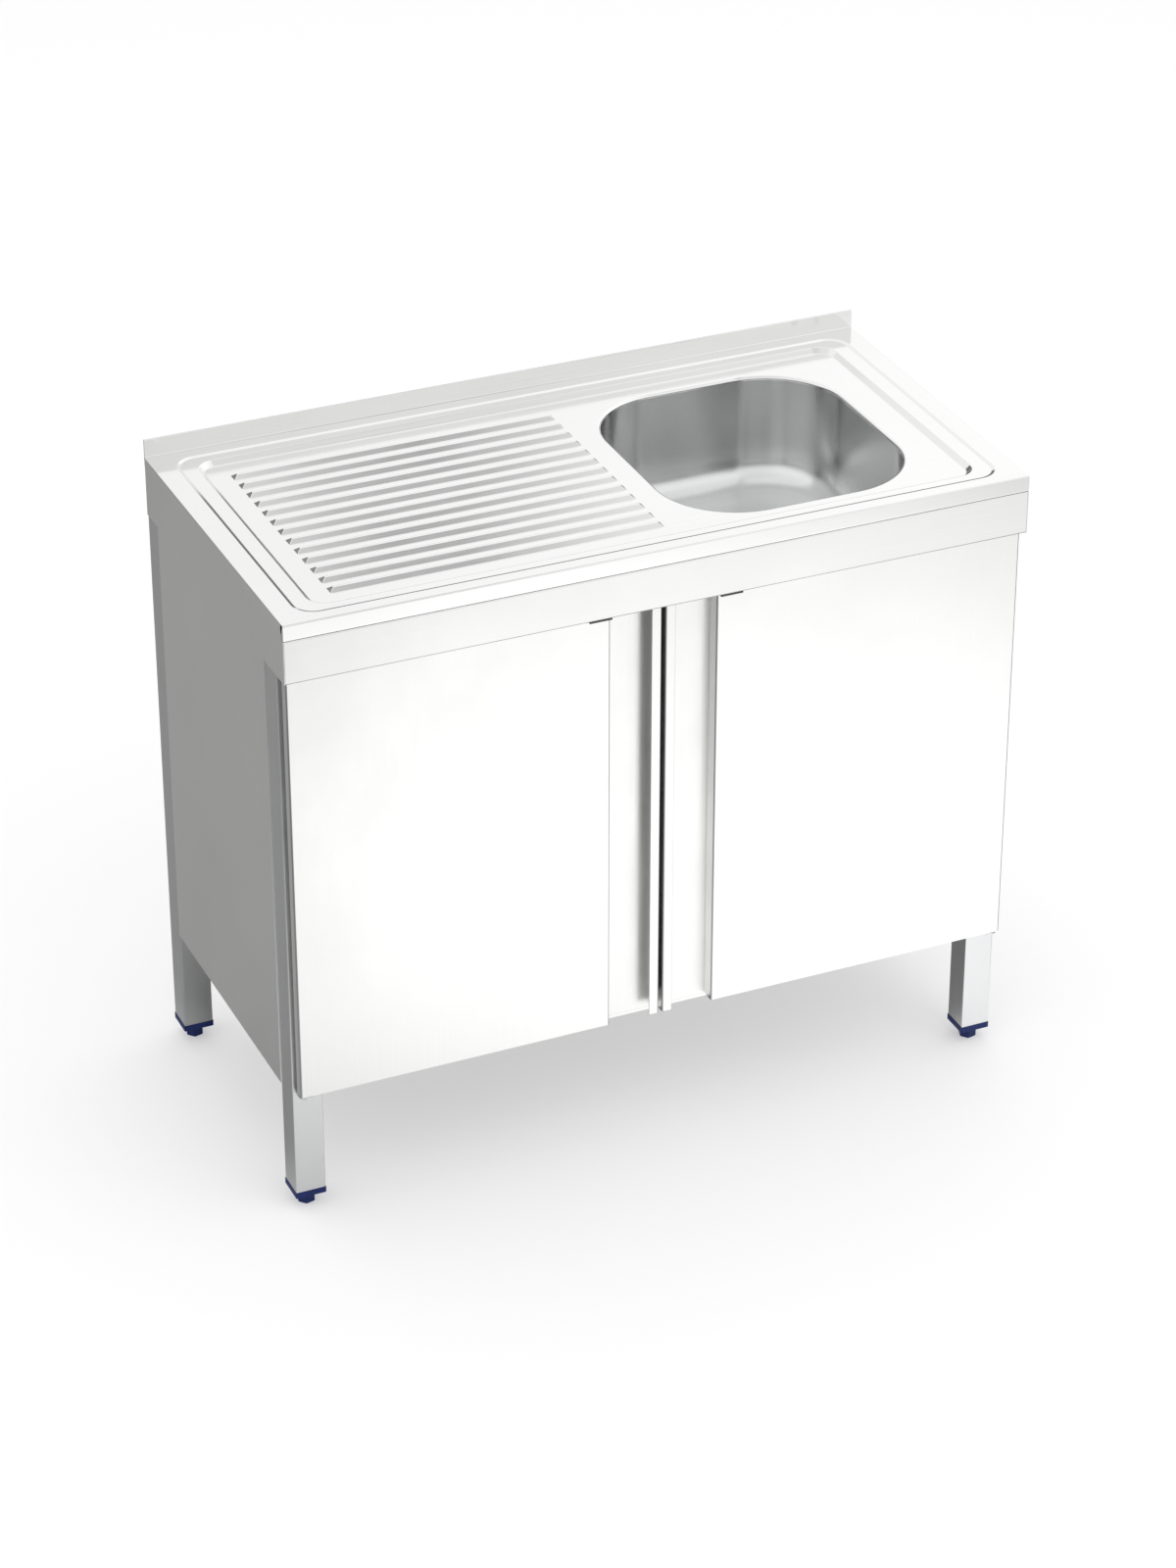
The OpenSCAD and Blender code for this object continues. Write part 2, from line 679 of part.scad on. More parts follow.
// Front skin of a door: face, hinge-side fold with its step, grip-side fold,
// and closing folds at the top and bottom that carry the pivot bushes
module door_skin() {
    half = sheet_t / 2;
    joggle = 0.5;
    y_fold = door_y0 + skin_fold;
    y_in = door_y1 - sheet_t;
    color(steel) difference() {
        union() {
            translate([0, 0, door_z]) linear_extrude(door_top - door_z) {
                folded([[skin_x1 - half, y_fold], [skin_x1 - half, door_y0 + half],
                        [door_x0 + half, door_y0 + half], [door_x0 + half, y_fold - half],
                        [door_x0 + rebate, y_fold - half]]);
                translate([skin_x1 - sheet_t - joggle, y_fold - 1]) square([sheet_t, y_in - y_fold + 1]);
            }
            for (z = [door_z, door_top - sheet_t]) {
                translate([door_x0 + sheet_t, door_y0 + half, z])
                    cube([skin_x1 - door_x0 - 2 * sheet_t, y_fold - door_y0 - sheet_t, sheet_t]);
                translate([door_x0 + rebate, y_fold - sheet_t, z])
                    cube([skin_x1 - sheet_t - door_x0 - rebate, y_in - y_fold + sheet_t, sheet_t]);
            }
        }
        for (z = [door_z, door_top - sheet_t]) translate([pin_x, pin_y, z - 1])
            cylinder(h = sheet_t + 2, r = bush_r + run_gap);
    }
}

// Inner panel of a door: back sheet, and the hooked lip at the meeting edge
module door_inner() {
    half = sheet_t / 2;
    yb = door_y1 - half;
    yf = door_y0 + half;
    x_in = door_x0 + rebate;
    color(steel) {
        translate([0, 0, door_z]) linear_extrude(door_top - door_z)
            folded([[x_in, yb], [door_x1 - half, yb], [door_x1 - half, yf], [door_x1 - hook_w, yf]]);
        translate([x_in, door_y0 + skin_fold - sheet_t, door_z + sheet_t + fit_gap])
            cube([sheet_t, door_t - skin_fold + sheet_t, door_top - door_z - 2 * (sheet_t + fit_gap)]);
    }
}

// Flanged nylon bush; up = 1 puts the flange on top
module bush(z, up) {
    color(nylon) translate([pin_x, pin_y, z]) mirror([0, 0, up > 0 ? 0 : 1]) difference() {
        union() {
            cylinder(h = bush_flange_t, r = bush_flange_r);
            translate([0, 0, -bush_h]) cylinder(h = bush_h + 0.5, r = bush_r);
        }
        translate([0, 0, -bush_h - 1]) cylinder(h = bush_h + 3, r = pin_r + run_gap);
    }
}

// Plate on the leg under the door, with the hole for the lower pin
module lower_pivot_plate() {
    color(satin) difference() {
        union() {
            translate([pin_x - plate_w / 2, pin_y, plate_z - plate_t])
                cube([plate_w, y_front + leg_setback - pin_y, plate_t]);
            translate([pin_x, pin_y, plate_z - plate_t]) cylinder(h = plate_t, r = plate_w / 2);
        }
        translate([pin_x, pin_y, plate_z - plate_t - 1]) cylinder(h = plate_t + 2, r = pin_r + run_gap);
    }
}

module lower_pin() {
    collar_t = 1.5;
    color(bright) translate([pin_x, pin_y, plate_z - plate_t]) {
        translate([0, 0, -collar_t])
            cylinder(h = collar_t + plate_t + fit_gap + bush_flange_t + bush_h - 1, r = pin_r);
        translate([0, 0, -collar_t]) cylinder(h = collar_t, r = pin_r + 1);
        translate([0, 0, -collar_t - 6]) cylinder(h = 6.01, r1 = 1.2, r2 = pin_r - 0.2);
    }
}

// Plate inside the apron that stiffens its fold around the upper pin
module upper_pivot_plate() {
    y0 = y_front + fit_gap + sheet_t + fold_r;
    x0 = -x_side + 2 * sheet_t + fit_gap;
    color(satin) difference() {
        translate([x0, y0, apron_z + sheet_t]) cube([2 * pivot_x, y_front + leg_setback - y0, plate_t]);
        translate([pin_x, pin_y, apron_z]) cylinder(h = plate_t + 3, r = pin_r + run_gap);
    }
}

module upper_pin() {
    z = apron_z + sheet_t + plate_t;
    color(bright) translate([pin_x, pin_y, z]) {
        translate([0, 0, door_top - bush_h + 1 - z]) cylinder(h = z - door_top + bush_h, r = pin_r);
        cylinder(h = 4, r = pin_r + 2.5, $fn = 6);
    }
}

// Magnet under the apron fold, snapped in by two studs
module magnet() {
    depth = 26;
    color(black) {
        translate([magnet_x - magnet_w / 2, y_front + 1, apron_z - magnet_t])
            cube([magnet_w, depth, magnet_t]);
        for (d = [-1, 1]) translate([magnet_x + d * magnet_stud_x, y_front + magnet_stud_y, apron_z - 1])
            cylinder(h = sheet_t + 3, r = magnet_stud_r);
    }
}

module strike_plate() {
    depth = 13;
    color(satin) translate([magnet_x - magnet_w / 2 + 2, door_y0 + 3, door_top])
        cube([magnet_w - 4, depth, strike_t]);
}

// Rubber discs on the shelf edge that the doors close against
module door_buffers() {
    thick = leg_setback + shelf_setback - door_recess - door_t - fit_gap;
    apart = 90;
    below = 12;
    disc_r = 5;
    y = y_front + leg_setback + shelf_setback;
    color(black) for (s = [-1, 1]) translate([s * apart / 2, y, shelf_z - below])
        rotate([90, 0, 0]) cylinder(h = thick, r = disc_r);
}

module at_leg(sx, sy) {
    translate([sx * leg_x, sy < 0 ? leg_front_y : leg_rear_y, 0]) children();
}
module on_right() {
    mirror([1, 0, 0]) children();
}

worktop();
bowl();
drainer_stiffeners();
front_rail();
rear_rail();
side_panel();  // side_panel_left
on_right() side_panel();  // side_panel_right
back_panel();
bottom_shelf();
at_leg(-1, -1) leg();  // leg_front_left
at_leg(1, -1) leg();  // leg_front_right
at_leg(-1, 1) leg();  // leg_rear_left
at_leg(1, 1) leg();  // leg_rear_right
at_leg(-1, -1) leg_cap();  // leg_cap_front_left
at_leg(1, -1) leg_cap();  // leg_cap_front_right
at_leg(-1, 1) leg_cap();  // leg_cap_rear_left
at_leg(1, 1) leg_cap();  // leg_cap_rear_right
at_leg(-1, -1) foot();  // foot_front_left
at_leg(1, -1) foot();  // foot_front_right
at_leg(-1, 1) foot();  // foot_rear_left
at_leg(1, 1) foot();  // foot_rear_right
strainer();
strainer_seal();
waste_seal();
waste_tail();
waste_screw();
door_skin();  // door_skin_left
on_right() door_skin();  // door_skin_right
door_inner();  // door_inner_left
on_right() door_inner();  // door_inner_right
bush(door_top, 1);  // upper_bush_left
on_right() bush(door_top, 1);  // upper_bush_right
bush(door_z, -1);  // lower_bush_left
on_right() bush(door_z, -1);  // lower_bush_right
upper_pivot_plate();  // upper_pivot_plate_left
on_right() upper_pivot_plate();  // upper_pivot_plate_right
lower_pivot_plate();  // lower_pivot_plate_left
on_right() lower_pivot_plate();  // lower_pivot_plate_right
upper_pin();  // upper_pin_left
on_right() upper_pin();  // upper_pin_right
lower_pin();  // lower_pin_left
on_right() lower_pin();  // lower_pin_right
magnet();  // magnet_left
on_right() magnet();  // magnet_right
strike_plate();  // strike_plate_left
on_right() strike_plate();  // strike_plate_right
door_buffers();
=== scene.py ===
"""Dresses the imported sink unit: pressed sheets, finishes, a plain studio and the photograph's camera."""

import json  # noqa: E402
import logging  # noqa: E402
import math  # noqa: E402
from collections.abc import Callable, Iterable  # noqa: E402
from dataclasses import dataclass, field  # noqa: E402
from enum import Enum  # noqa: E402

import bmesh  # noqa: E402
import bpy  # noqa: E402
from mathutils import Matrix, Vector  # noqa: E402


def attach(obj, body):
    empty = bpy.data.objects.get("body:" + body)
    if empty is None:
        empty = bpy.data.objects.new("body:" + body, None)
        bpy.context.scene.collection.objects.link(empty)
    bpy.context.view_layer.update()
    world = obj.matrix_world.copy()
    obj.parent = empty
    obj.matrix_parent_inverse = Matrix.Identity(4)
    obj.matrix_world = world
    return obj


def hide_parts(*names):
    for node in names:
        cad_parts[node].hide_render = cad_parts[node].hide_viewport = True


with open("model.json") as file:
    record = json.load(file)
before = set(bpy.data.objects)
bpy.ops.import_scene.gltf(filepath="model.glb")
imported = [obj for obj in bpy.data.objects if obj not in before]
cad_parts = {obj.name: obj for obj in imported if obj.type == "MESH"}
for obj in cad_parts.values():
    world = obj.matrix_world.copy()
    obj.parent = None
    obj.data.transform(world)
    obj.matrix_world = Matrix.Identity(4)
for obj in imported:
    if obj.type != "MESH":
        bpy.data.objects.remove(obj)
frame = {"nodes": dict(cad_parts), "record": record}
log = logging.getLogger("sink_unit")

# Points nearer to each other than this are welded, and count as level. All sizes are in metres.
WELD = 2e-6
# The smallest inset that Blender still makes a ring of.
LEAST_INSET = 1e-6
# Places nearer than this count as the same when an edge is looked for.
NEAR = 1e-5
WHITE = (1.0, 1.0, 1.0)

Piece = bpy.types.Object
Node = bpy.types.Node
Pair = tuple[float, float]
Triple = tuple[float, float, float]
Signal = tuple[Node, str]
Source = Signal | float


def close_edit() -> None:
    """Goes back to object mode."""
    bpy.ops.object.mode_set(mode="OBJECT")


def clear_selection() -> None:
    """Leaves object mode with nothing selected."""
    if bpy.context.object and bpy.context.object.mode != "OBJECT":
        close_edit()
    bpy.ops.object.select_all(action="DESELECT")


def select_only(piece: Piece) -> None:
    """Selects one piece in object mode and makes it the active one.

    Args:
        piece: The piece.
    """
    clear_selection()
    piece.select_set(True)
    bpy.context.view_layer.objects.active = piece


def edit_only(piece: Piece) -> None:
    """Opens one piece in edit mode."""
    select_only(piece)
    bpy.ops.object.mode_set(mode="EDIT")


def edit_whole(piece: Piece, kind: str | None = None) -> None:
    """Opens one piece in edit mode with all of it selected.

    Args:
        piece: The mesh object to edit.
        kind: What is picked from then on, "EDGE" or "FACE", where that matters.
    """
    edit_only(piece)
    if kind:
        bpy.ops.mesh.select_mode(type=kind)
    bpy.ops.mesh.select_all(action="SELECT")


def pick_none(kind: str) -> None:
    """Deselects all in edit mode; from then on an "EDGE" or a "FACE" is picked."""
    bpy.ops.mesh.select_mode(type=kind)
    bpy.ops.mesh.select_all(action="DESELECT")


def pick(piece: Piece, kind: str, test: Callable[[Vector, Vector], bool]) -> None:
    """Selects the edges or faces of the piece in edit mode by their place.

    Args:
        piece: The object in edit mode.
        kind: "edges" or "faces".
        test: Takes the middle and, for a face, its normal or, for an edge, its direction.
    """
    pick_none("EDGE" if kind == "edges" else "FACE")
    shape = bmesh.from_edit_mesh(piece.data)
    for item in getattr(shape, kind):
        if kind == "edges":
            a, b = item.verts
            middle, lean = (a.co + b.co) / 2, (b.co - a.co)
        else:
            middle, lean = item.calc_center_median(), item.normal
        if test(middle, lean):
            item.select_set(True)
    bmesh.update_edit_mesh(piece.data)


@dataclass(frozen=True)
class Outline:
    """A rectangle with rounded corners, seen from above.

    Attributes:
        half: Half its width along X and half its depth along Y.
        centre: Its middle.
        radius: Its corner radius.
    """

    half: Pair
    centre: Pair
    radius: float


BOWL_OPENING = Outline((0.166, 0.181), (0.229, -0.0055), 0.105)


def round_blank(name: str, outline: Outline, z: float, steps: int) -> Piece:
    """A flat blank with rounded corners, left in edit mode with its face selected.

    Args:
        name: The object's name.
        outline: Its outline.
        z: Its height.
        steps: Straight pieces in each corner.

    Returns:
        The new object.
    """
    clear_selection()
    bpy.ops.mesh.primitive_plane_add(size=2.0, location=(0, 0, 0))
    blank = bpy.context.object
    blank.name = name
    edit_whole(blank)
    bpy.ops.transform.resize(value=(*outline.half, 1), center_override=(0, 0, 0))
    bpy.ops.transform.translate(value=(*outline.centre, z))
    if outline.radius > 0:
        bpy.ops.mesh.bevel(
            offset=outline.radius, segments=steps, affect="VERTICES", profile=0.5, clamp_overlap=False
        )
    bpy.ops.mesh.select_mode(type="FACE")
    bpy.ops.mesh.select_all(action="SELECT")
    return blank


def press(profile: Iterable[Pair]) -> None:
    """Presses the selected face in rings, each set in and moved along the face's normal.

    Args:
        profile: The (inset, rise) of each ring, counted from the ring before the first.
    """
    inset, rise = 0.0, 0.0
    for next_inset, next_rise in profile:
        bpy.ops.mesh.inset(
            thickness=max(next_inset - inset, LEAST_INSET),
            depth=next_rise - rise,
            use_even_offset=True,
            use_boundary=True,
        )
        inset, rise = next_inset, next_rise


def draw_out(height: float) -> None:
    """Extrudes the selected face straight up, or down where the height is below 0."""
    bpy.ops.mesh.extrude_region_move(TRANSFORM_OT_translate={"value": (0.0, 0.0, height)})


def opened(ring: Piece) -> Piece:
    """Takes the selected face out of a piece, keeps its edge and ends the edit.

    Args:
        ring: The piece in edit mode.

    Returns:
        The piece, open inside.
    """
    bpy.ops.mesh.delete(type="ONLY_FACE")
    close_edit()
    return ring


def pick_open(sheet: Piece, *heights: float) -> None:
    """Selects a sheet's open edges at some heights.

    Args:
        sheet: The sheet in edit mode.
        heights: Both ends of an edge lie at one of them.
    """
    pick_none("EDGE")
    shape = bmesh.from_edit_mesh(sheet.data)
    for edge in shape.edges:
        level = all(min(abs(v.co.z - z) for z in heights) < WELD for v in edge.verts)
        edge.select_set(level and len(edge.link_faces) < 2)
    bmesh.update_edit_mesh(sheet.data)


def fill_level(sheet: Piece, z: float) -> None:
    """Fills the flat ring between a sheet's open outlines at one height.

    Args:
        sheet: The sheet.
        z: The height.
    """
    edit_only(sheet)
    pick_open(sheet, z)
    bpy.ops.mesh.fill(use_beauty=True)
    close_edit()


def joined(name: str, parts: list[Piece]) -> Piece:
    """Joins pieces into one object.

    Args:
        name: The joined object's name.
        parts: The pieces; the first one takes the others in.

    Returns:
        The joined object.
    """
    clear_selection()
    for part in parts:
        part.select_set(True)
    bpy.context.view_layer.objects.active = parts[0]
    bpy.ops.object.join()
    parts[0].name = name
    parts[0].data.name = name
    return parts[0]


def copies(piece: Piece, shifts: Iterable[Triple]) -> list[Piece]:
    """Copies a piece, each copy with its own mesh moved by a shift.

    Args:
        piece: The model piece, at its first place.
        shifts: Where each copy goes, counted from the model piece.

    Returns:
        The copies, without the model piece.
    """
    made = []
    for shift in shifts:
        select_only(piece)
        bpy.ops.object.duplicate(linked=False)
        copy = bpy.context.object
        edit_whole(copy)
        bpy.ops.transform.translate(value=shift)
        close_edit()
        made.append(copy)
    return made


def add_modifier(piece: Piece, kind: str, **values: object) -> None:
    """Adds one modifier and applies it.

    Args:
        piece: The object that gets it.
        kind: Blender's name of the modifier type.
        values: Its settings.
    """
    select_only(piece)
    made = piece.modifiers.new(kind.title(), kind)
    for name, value in values.items():
        setattr(made, name, value)
    bpy.ops.object.modifier_apply(modifier=made.name)


def round_edges(piece: Piece, width: float, fold_deg: float) -> None:
    """Rounds a piece's sharp edges and shades its folds and roundings smooth, its flats flat.

    Args:
        piece: The object.
        width: The rounding's width.
        fold_deg: Edges sharper than this are rounded; flatter ones belong to a fold.
    """
    limit = math.radians(fold_deg)
    add_modifier(piece, "BEVEL", width=width, segments=2, limit_method="ANGLE", angle_limit=limit)
    settle_shading(piece, fold_deg)


def settle_shading(piece: Piece, smooth_deg: float) -> None:
    """Shades a piece smooth, keeps sharper edges crisp and lets its large faces stay flat.

    Args:
        piece: The object.
        smooth_deg: The angle in degrees.
    """
    select_only(piece)
    bpy.ops.object.shade_smooth_by_angle(angle=math.radians(smooth_deg))
    add_modifier(piece, "WEIGHTED_NORMAL", weight=90, keep_sharp=True)


def finish_sheet(piece: Piece, thickness: float, smooth_deg: float = 32.0) -> None:
    """Welds a sheet's loose rings, faces it upwards, gives it its thickness and shades it.

    Args:
        piece: The open sheet.
        thickness: The sheet's gauge, laid under its face.
        smooth_deg: Folds flatter than this are shaded as round.
    """
    edit_whole(piece)
    bpy.ops.mesh.remove_doubles(threshold=WELD)
    bpy.ops.mesh.normals_make_consistent(inside=False)
    close_edit()
    widest = max(piece.data.polygons, key=lambda face: face.area * abs(face.normal.z))
    if widest.normal.z < 0:
        edit_whole(piece)
        bpy.ops.mesh.flip_normals()
        close_edit()
    add_modifier(piece, "SOLIDIFY", thickness=thickness, offset=-1.0, use_even_offset=True)
    settle_shading(piece, smooth_deg)


def arc(centre: Pair, radius: float, turn: Pair, steps: int, whole: bool = False) -> list[Pair]:
    """Points on an arc in a profile.

    Args:
        centre: The arc's centre.
        radius: Its radius.
        turn: Its start and end angle in degrees, counted from the profile's first axis.
        steps: Straight pieces.
        whole: Whether the first point is kept.

    Returns:
        The points.
    """
    start, end = turn
    turns = [math.radians(start + (end - start) * k / steps) for k in range(0 if whole else 1, steps + 1)]
    return [(centre[0] + radius * math.cos(a), centre[1] + radius * math.sin(a)) for a in turns]


def step_profile(run: float, drop: float, radius: float, steps: int = 5) -> list[Pair]:
    """The profile of a pressed step with both its edges rounded.

    Args:
        run: How far the step reaches in plan.
        drop: How far it goes down.
        radius: The radius of both edges.
        steps: Straight pieces in each edge.

    Returns:
        Its (inset, rise) points after the starting edge.
    """
    fall = drop - 2 * radius
    lean = math.degrees(math.atan2(fall, run) + math.asin(2 * radius / math.hypot(run, fall)))
    upper = arc((0.0, -radius), radius, (90.0, 90.0 - lean), steps)
    return upper + arc((run, radius - drop), radius, (270.0 - lean, 270.0), steps, whole=True)


class Grain(Enum):
    """The direction in which a sheet was ground, as the pattern's fineness along X, Y and Z."""

    ALONG_X = (7.0, 900.0, 900.0)
    ALONG_Z = (900.0, 900.0, 7.0)
    AROUND = (9.0, 9.0, 700.0)


class Wiring:
    """A short hand for the nodes of one tree, in which a signal is a node with its output's name."""

    def __init__(self, tree: bpy.types.NodeTree) -> None:
        """Empties a tree and gives it its coordinates.

        Args:
            tree: A material's or the world's nodes.
        """
        self.tree = tree
        self.tree.nodes.clear()
        self.place = self.add("ShaderNodeTexCoord")

    def add(self, kind: str, feeds: dict[str | int, object] | None = None, **values: object) -> Node:
        """Adds a node.

        Args:
            kind: Its type.
            feeds: What its inputs get, as for feed().
            values: Its properties.

        Returns:
            The node.
        """
        node = self.tree.nodes.new(kind)
        for name, value in values.items():
            setattr(node, name, value)
        self.feed(node, feeds or {})
        return node

    def feed(self, node: Node, feeds: dict[str | int, object]) -> None:
        """Gives inputs of a node a signal or a plain value each.

        Args:
            node: The node.
            feeds: The signal, number or colour for each input.
        """
        for into, source in feeds.items():
            if isinstance(source, tuple) and isinstance(source[0], Node):
                self.tree.links.new(source[0].outputs[source[1]], node.inputs[into])
            else:
                node.inputs[into].default_value = source

    def math(self, operation: str, *sources: Source) -> Signal:
        """A Math node's result."""
        return self.add("ShaderNodeMath", dict(enumerate(sources)), operation=operation), "Value"

    def times(self, first: Source, *others: Source) -> Source:
        """The product of signals.

        Args:
            first: The first one.
            others: The rest, multiplied in this order.

        Returns:
            The product.
        """
        for other in others:
            first = self.math("MULTIPLY", first, other)
        return first

    def ranged(
        self, source: Signal, low: float, high: float, span: Pair = (0.3, 0.7), smooth: bool = False
    ) -> Signal:
        """Maps a signal to a range.

        Args:
            source: The signal.
            low: The result at the span's start.
            high: The result at its end.
            span: The values that are spread over the range.
            smooth: Whether the ends of the range are eased.

        Returns:
            The mapped signal.
        """
        feeds = {"Value": source, "From Min": span[0], "From Max": span[1], "To Min": low, "To Max": high}
        easing = "SMOOTHSTEP" if smooth else "LINEAR"
        return self.add("ShaderNodeMapRange", feeds, interpolation_type=easing), "Result"

    def ramp(self, source: Signal, none: float, full: float) -> Signal:
        """A signal that goes from 0 to 1 while its source goes from one value to the other.

        Args:
            source: The source.
            none: Its value where the result is 0.
            full: Its value where the result is 1.

        Returns:
            The signal.
        """
        if none < full:
            return self.ranged(source, 0.0, 1.0, span=(none, full))
        return self.ranged(source, 1.0, 0.0, span=(full, none))

    def card(self, tone: float, *sides: Signal, smooth: bool = False) -> Signal:
        """A tone that holds where all its sides are 1 and gives way to white where one is 0."""
        return self.ranged(self.times(*sides), 1.0, tone, span=(0.0, 1.0), smooth=smooth)

    def mixed(self, low: Source, high: Source, share: Signal) -> Signal:
        """Blends two values by a share, 0 for the first one and 1 for the second."""
        feeds = {"Factor": share, "A": low, "B": high}
        return self.add("ShaderNodeMix", feeds, data_type="FLOAT"), "Result"

    def along(self, space: str, axis: Triple) -> Signal:
        """How far a place reaches along an axis, in one of the tree's coordinates."""
        feeds = {0: (self.place, space), 1: axis}
        return self.add("ShaderNodeVectorMath", feeds, operation="DOT_PRODUCT"), "Value"

    def parts(self, space: str) -> list[Signal]:
        """A place's X, Y and Z in one of the tree's coordinates."""
        split = self.add("ShaderNodeSeparateXYZ", {"Vector": (self.place, space)})
        return [(split, axis) for axis in "XYZ"]


class Surface(Wiring):
    """A material with one shader, whose patterns follow the object."""

    def __init__(self, name: str) -> None:
        """Starts the material.

        Args:
            name: The material's name.
        """
        self.material = bpy.data.materials.new(name)
        self.material.use_nodes = True
        super().__init__(self.material.node_tree)
        self.shader = self.add("ShaderNodeBsdfPrincipled")
        self.add("ShaderNodeOutputMaterial", {"Surface": (self.shader, "BSDF")})

    def noise(self, scale: Triple, detail: float = 2.0, rough: float = 0.5) -> Signal:
        """A noise pattern on Object coordinates.

        Args:
            scale: Its fineness along X, Y and Z, per metre.
            detail: How many finer layers it has.
            rough: How strong they are.

        Returns:
            The pattern.
        """
        spread = self.add("ShaderNodeMapping", {"Vector": (self.place, "Object"), "Scale": scale})
        feeds = {"Vector": (spread, "Vector"), "Scale": 1.0, "Detail": detail, "Roughness": rough}
        return self.add("ShaderNodeTexNoise", feeds), "Fac"

    def tinted(self, source: Signal, dark: Triple, pale: Triple, span: Pair = (0.35, 0.65)) -> Signal:
        """Blends two colours by a pattern.

        Args:
            source: The pattern.
            dark: The colour at the span's start.
            pale: The colour at its end.
            span: The pattern values between which the colour turns.

        Returns:
            The colour.
        """
        ramp = self.add("ShaderNodeValToRGB", {"Fac": source})
        for stop, place, tint in zip(ramp.color_ramp.elements, span, (dark, pale)):
            stop.position, stop.color = place, (*tint, 1.0)
        return ramp, "Color"

    def bumped(self, height: Signal, strength: float, depth: float) -> None:
        """Turns a pattern into relief on the shader's normal.

        Args:
            height: The pattern.
            strength: How strongly it shows.
            depth: The relief's depth in metres.
        """
        bump = self.add("ShaderNodeBump", {"Strength": strength, "Distance": depth, "Height": height})
        self.feed(self.shader, {"Normal": (bump, "Normal")})


@dataclass(frozen=True)
class SteelFinish:
    """Stainless steel sheet or tube, ground in one direction, with faint handling marks.

    Attributes:
        name: The material's name.
        tone: Its linear colour.
        grain: The grinding direction.
        roughness: Its mean roughness.
        streak: How deep the grinding shows.
        contrast: How much the grinding changes its tone and roughness.
        cloud: How much its tone drifts over the sheet.
        smudge: How much hands and cloths have changed its roughness.
        drawn: Painted shade: how much darker it is painted above the upper of two heights than below the
            lower.
        painted_shade_span: Those two heights, between which the painted shade fades in.
        stretch: How much lines ground around a bowl draw its reflections up and down.
        cloud_scale: The fineness of its drift in tone, per metre.
        mark_scale: The fineness of its handling marks, per metre.
        relief: The depth of its ground lines.
    """

    name: str
    tone: Triple
    grain: Grain
    roughness: float = 0.34
    streak: float = 0.16
    contrast: float = 0.14
    cloud: float = 0.03
    smudge: float = 0.025
    # Painted shade: how much darker the colour is above the upper of the span's heights.
    drawn: float = 0.0
    painted_shade_span: Pair = (0.0, 1.0)
    stretch: float = 0.0
    cloud_scale: Triple = (2.6, 2.6, 2.6)
    mark_scale: Triple = (11.0, 11.0, 11.0)
    relief: float = 0.00006

    def make(self) -> bpy.types.Material:
        """Builds the material.

        Returns:
            The material.
        """
        mat = Surface(self.name)
        lines = mat.noise(self.grain.value, detail=3.0, rough=0.6)
        clouds = mat.noise(self.cloud_scale)
        marks = mat.noise(self.mark_scale, detail=4.0, rough=0.62)
        drift = mat.tinted(clouds, tuple(c * (1.0 - self.cloud) for c in self.tone), self.tone)
        line = 1.0 - self.contrast / 4
        fine = mat.tinted(lines, (line, line, line), WHITE, span=(0.3, 0.7))
        tints = {"Factor": 1.0, "A": drift, "B": fine}
        mix = mat.add("ShaderNodeMix", tints, data_type="RGBA", blend_type="MULTIPLY")
        # Painted shade: the colour is darkened above a height, so that a bowl's walls come out darker than
        # its floor.
        depth = mat.ranged(mat.parts("Object")[2], 1.0, 1.0 - self.drawn, span=self.painted_shade_span, smooth=True)
        toned = mat.add("ShaderNodeVectorMath", {0: (mix, "Result"), "Scale": depth}, operation="SCALE")
        low, high = (self.roughness * (1.0 + share) for share in (-self.contrast, self.contrast))
        worn = mat.ranged(marks, -self.smudge, self.smudge, span=(0.35, 0.65))
        feeds = {
            "Base Color": (toned, "Vector"),
            "Roughness": mat.math("ADD", mat.ranged(lines, low, high), worn),
            "Metallic": 1.0,
            "Anisotropic": self.stretch,
            "Anisotropic Rotation": 0.25,
        }
        mat.feed(mat.shader, feeds)
        mat.bumped(lines, self.streak, self.relief)
        return mat.material


@dataclass(frozen=True)
class MouldedFinish:
    """Moulded plastic or rubber with a fine spark-eroded skin.

    Attributes:
        name: The material's name.
        tone: Its linear colour.
        roughness: Its mean roughness.
        skin: How deep the moulded skin shows.
        gloss: Its specular level.
        grain_scale: The fineness of that skin, per metre.
        drift_scale: The fineness of its drift in tone and roughness, per metre.
        tone_drift: The darkest and the palest share of its colour.
        dust: How much paler than its palest share it can be.
        wear: How far its roughness drifts down and up.
        relief: The depth of its skin.
    """

    name: str
    tone: Triple
    roughness: float = 0.45
    skin: float = 0.25
    gloss: float = 0.5
    grain_scale: Triple = (2200.0, 2200.0, 2200.0)
    drift_scale: Triple = (45.0, 45.0, 45.0)
    tone_drift: Pair = (0.86, 1.1)
    dust: float = 0.002
    wear: Pair = (0.06, 0.08)
    relief: float = 0.00008

    def make(self) -> bpy.types.Material:
        """Builds the material.

        Returns:
            The material.
        """
        mat = Surface(self.name)
        grain = mat.noise(self.grain_scale)
        drift = mat.noise(self.drift_scale, detail=3.0)
        dark_share, pale_share = self.tone_drift
        dark = tuple(c * dark_share for c in self.tone)
        pale = tuple(min(c * pale_share + self.dust, 1.0) for c in self.tone)
        down, up = self.wear
        feeds = {
            "Base Color": mat.tinted(drift, dark, pale),
            "Roughness": mat.ranged(drift, self.roughness - down, self.roughness + up),
            "Specular IOR Level": self.gloss,
        }
        mat.feed(mat.shader, feeds)
        mat.bumped(grain, self.skin, self.relief)
        return mat.material


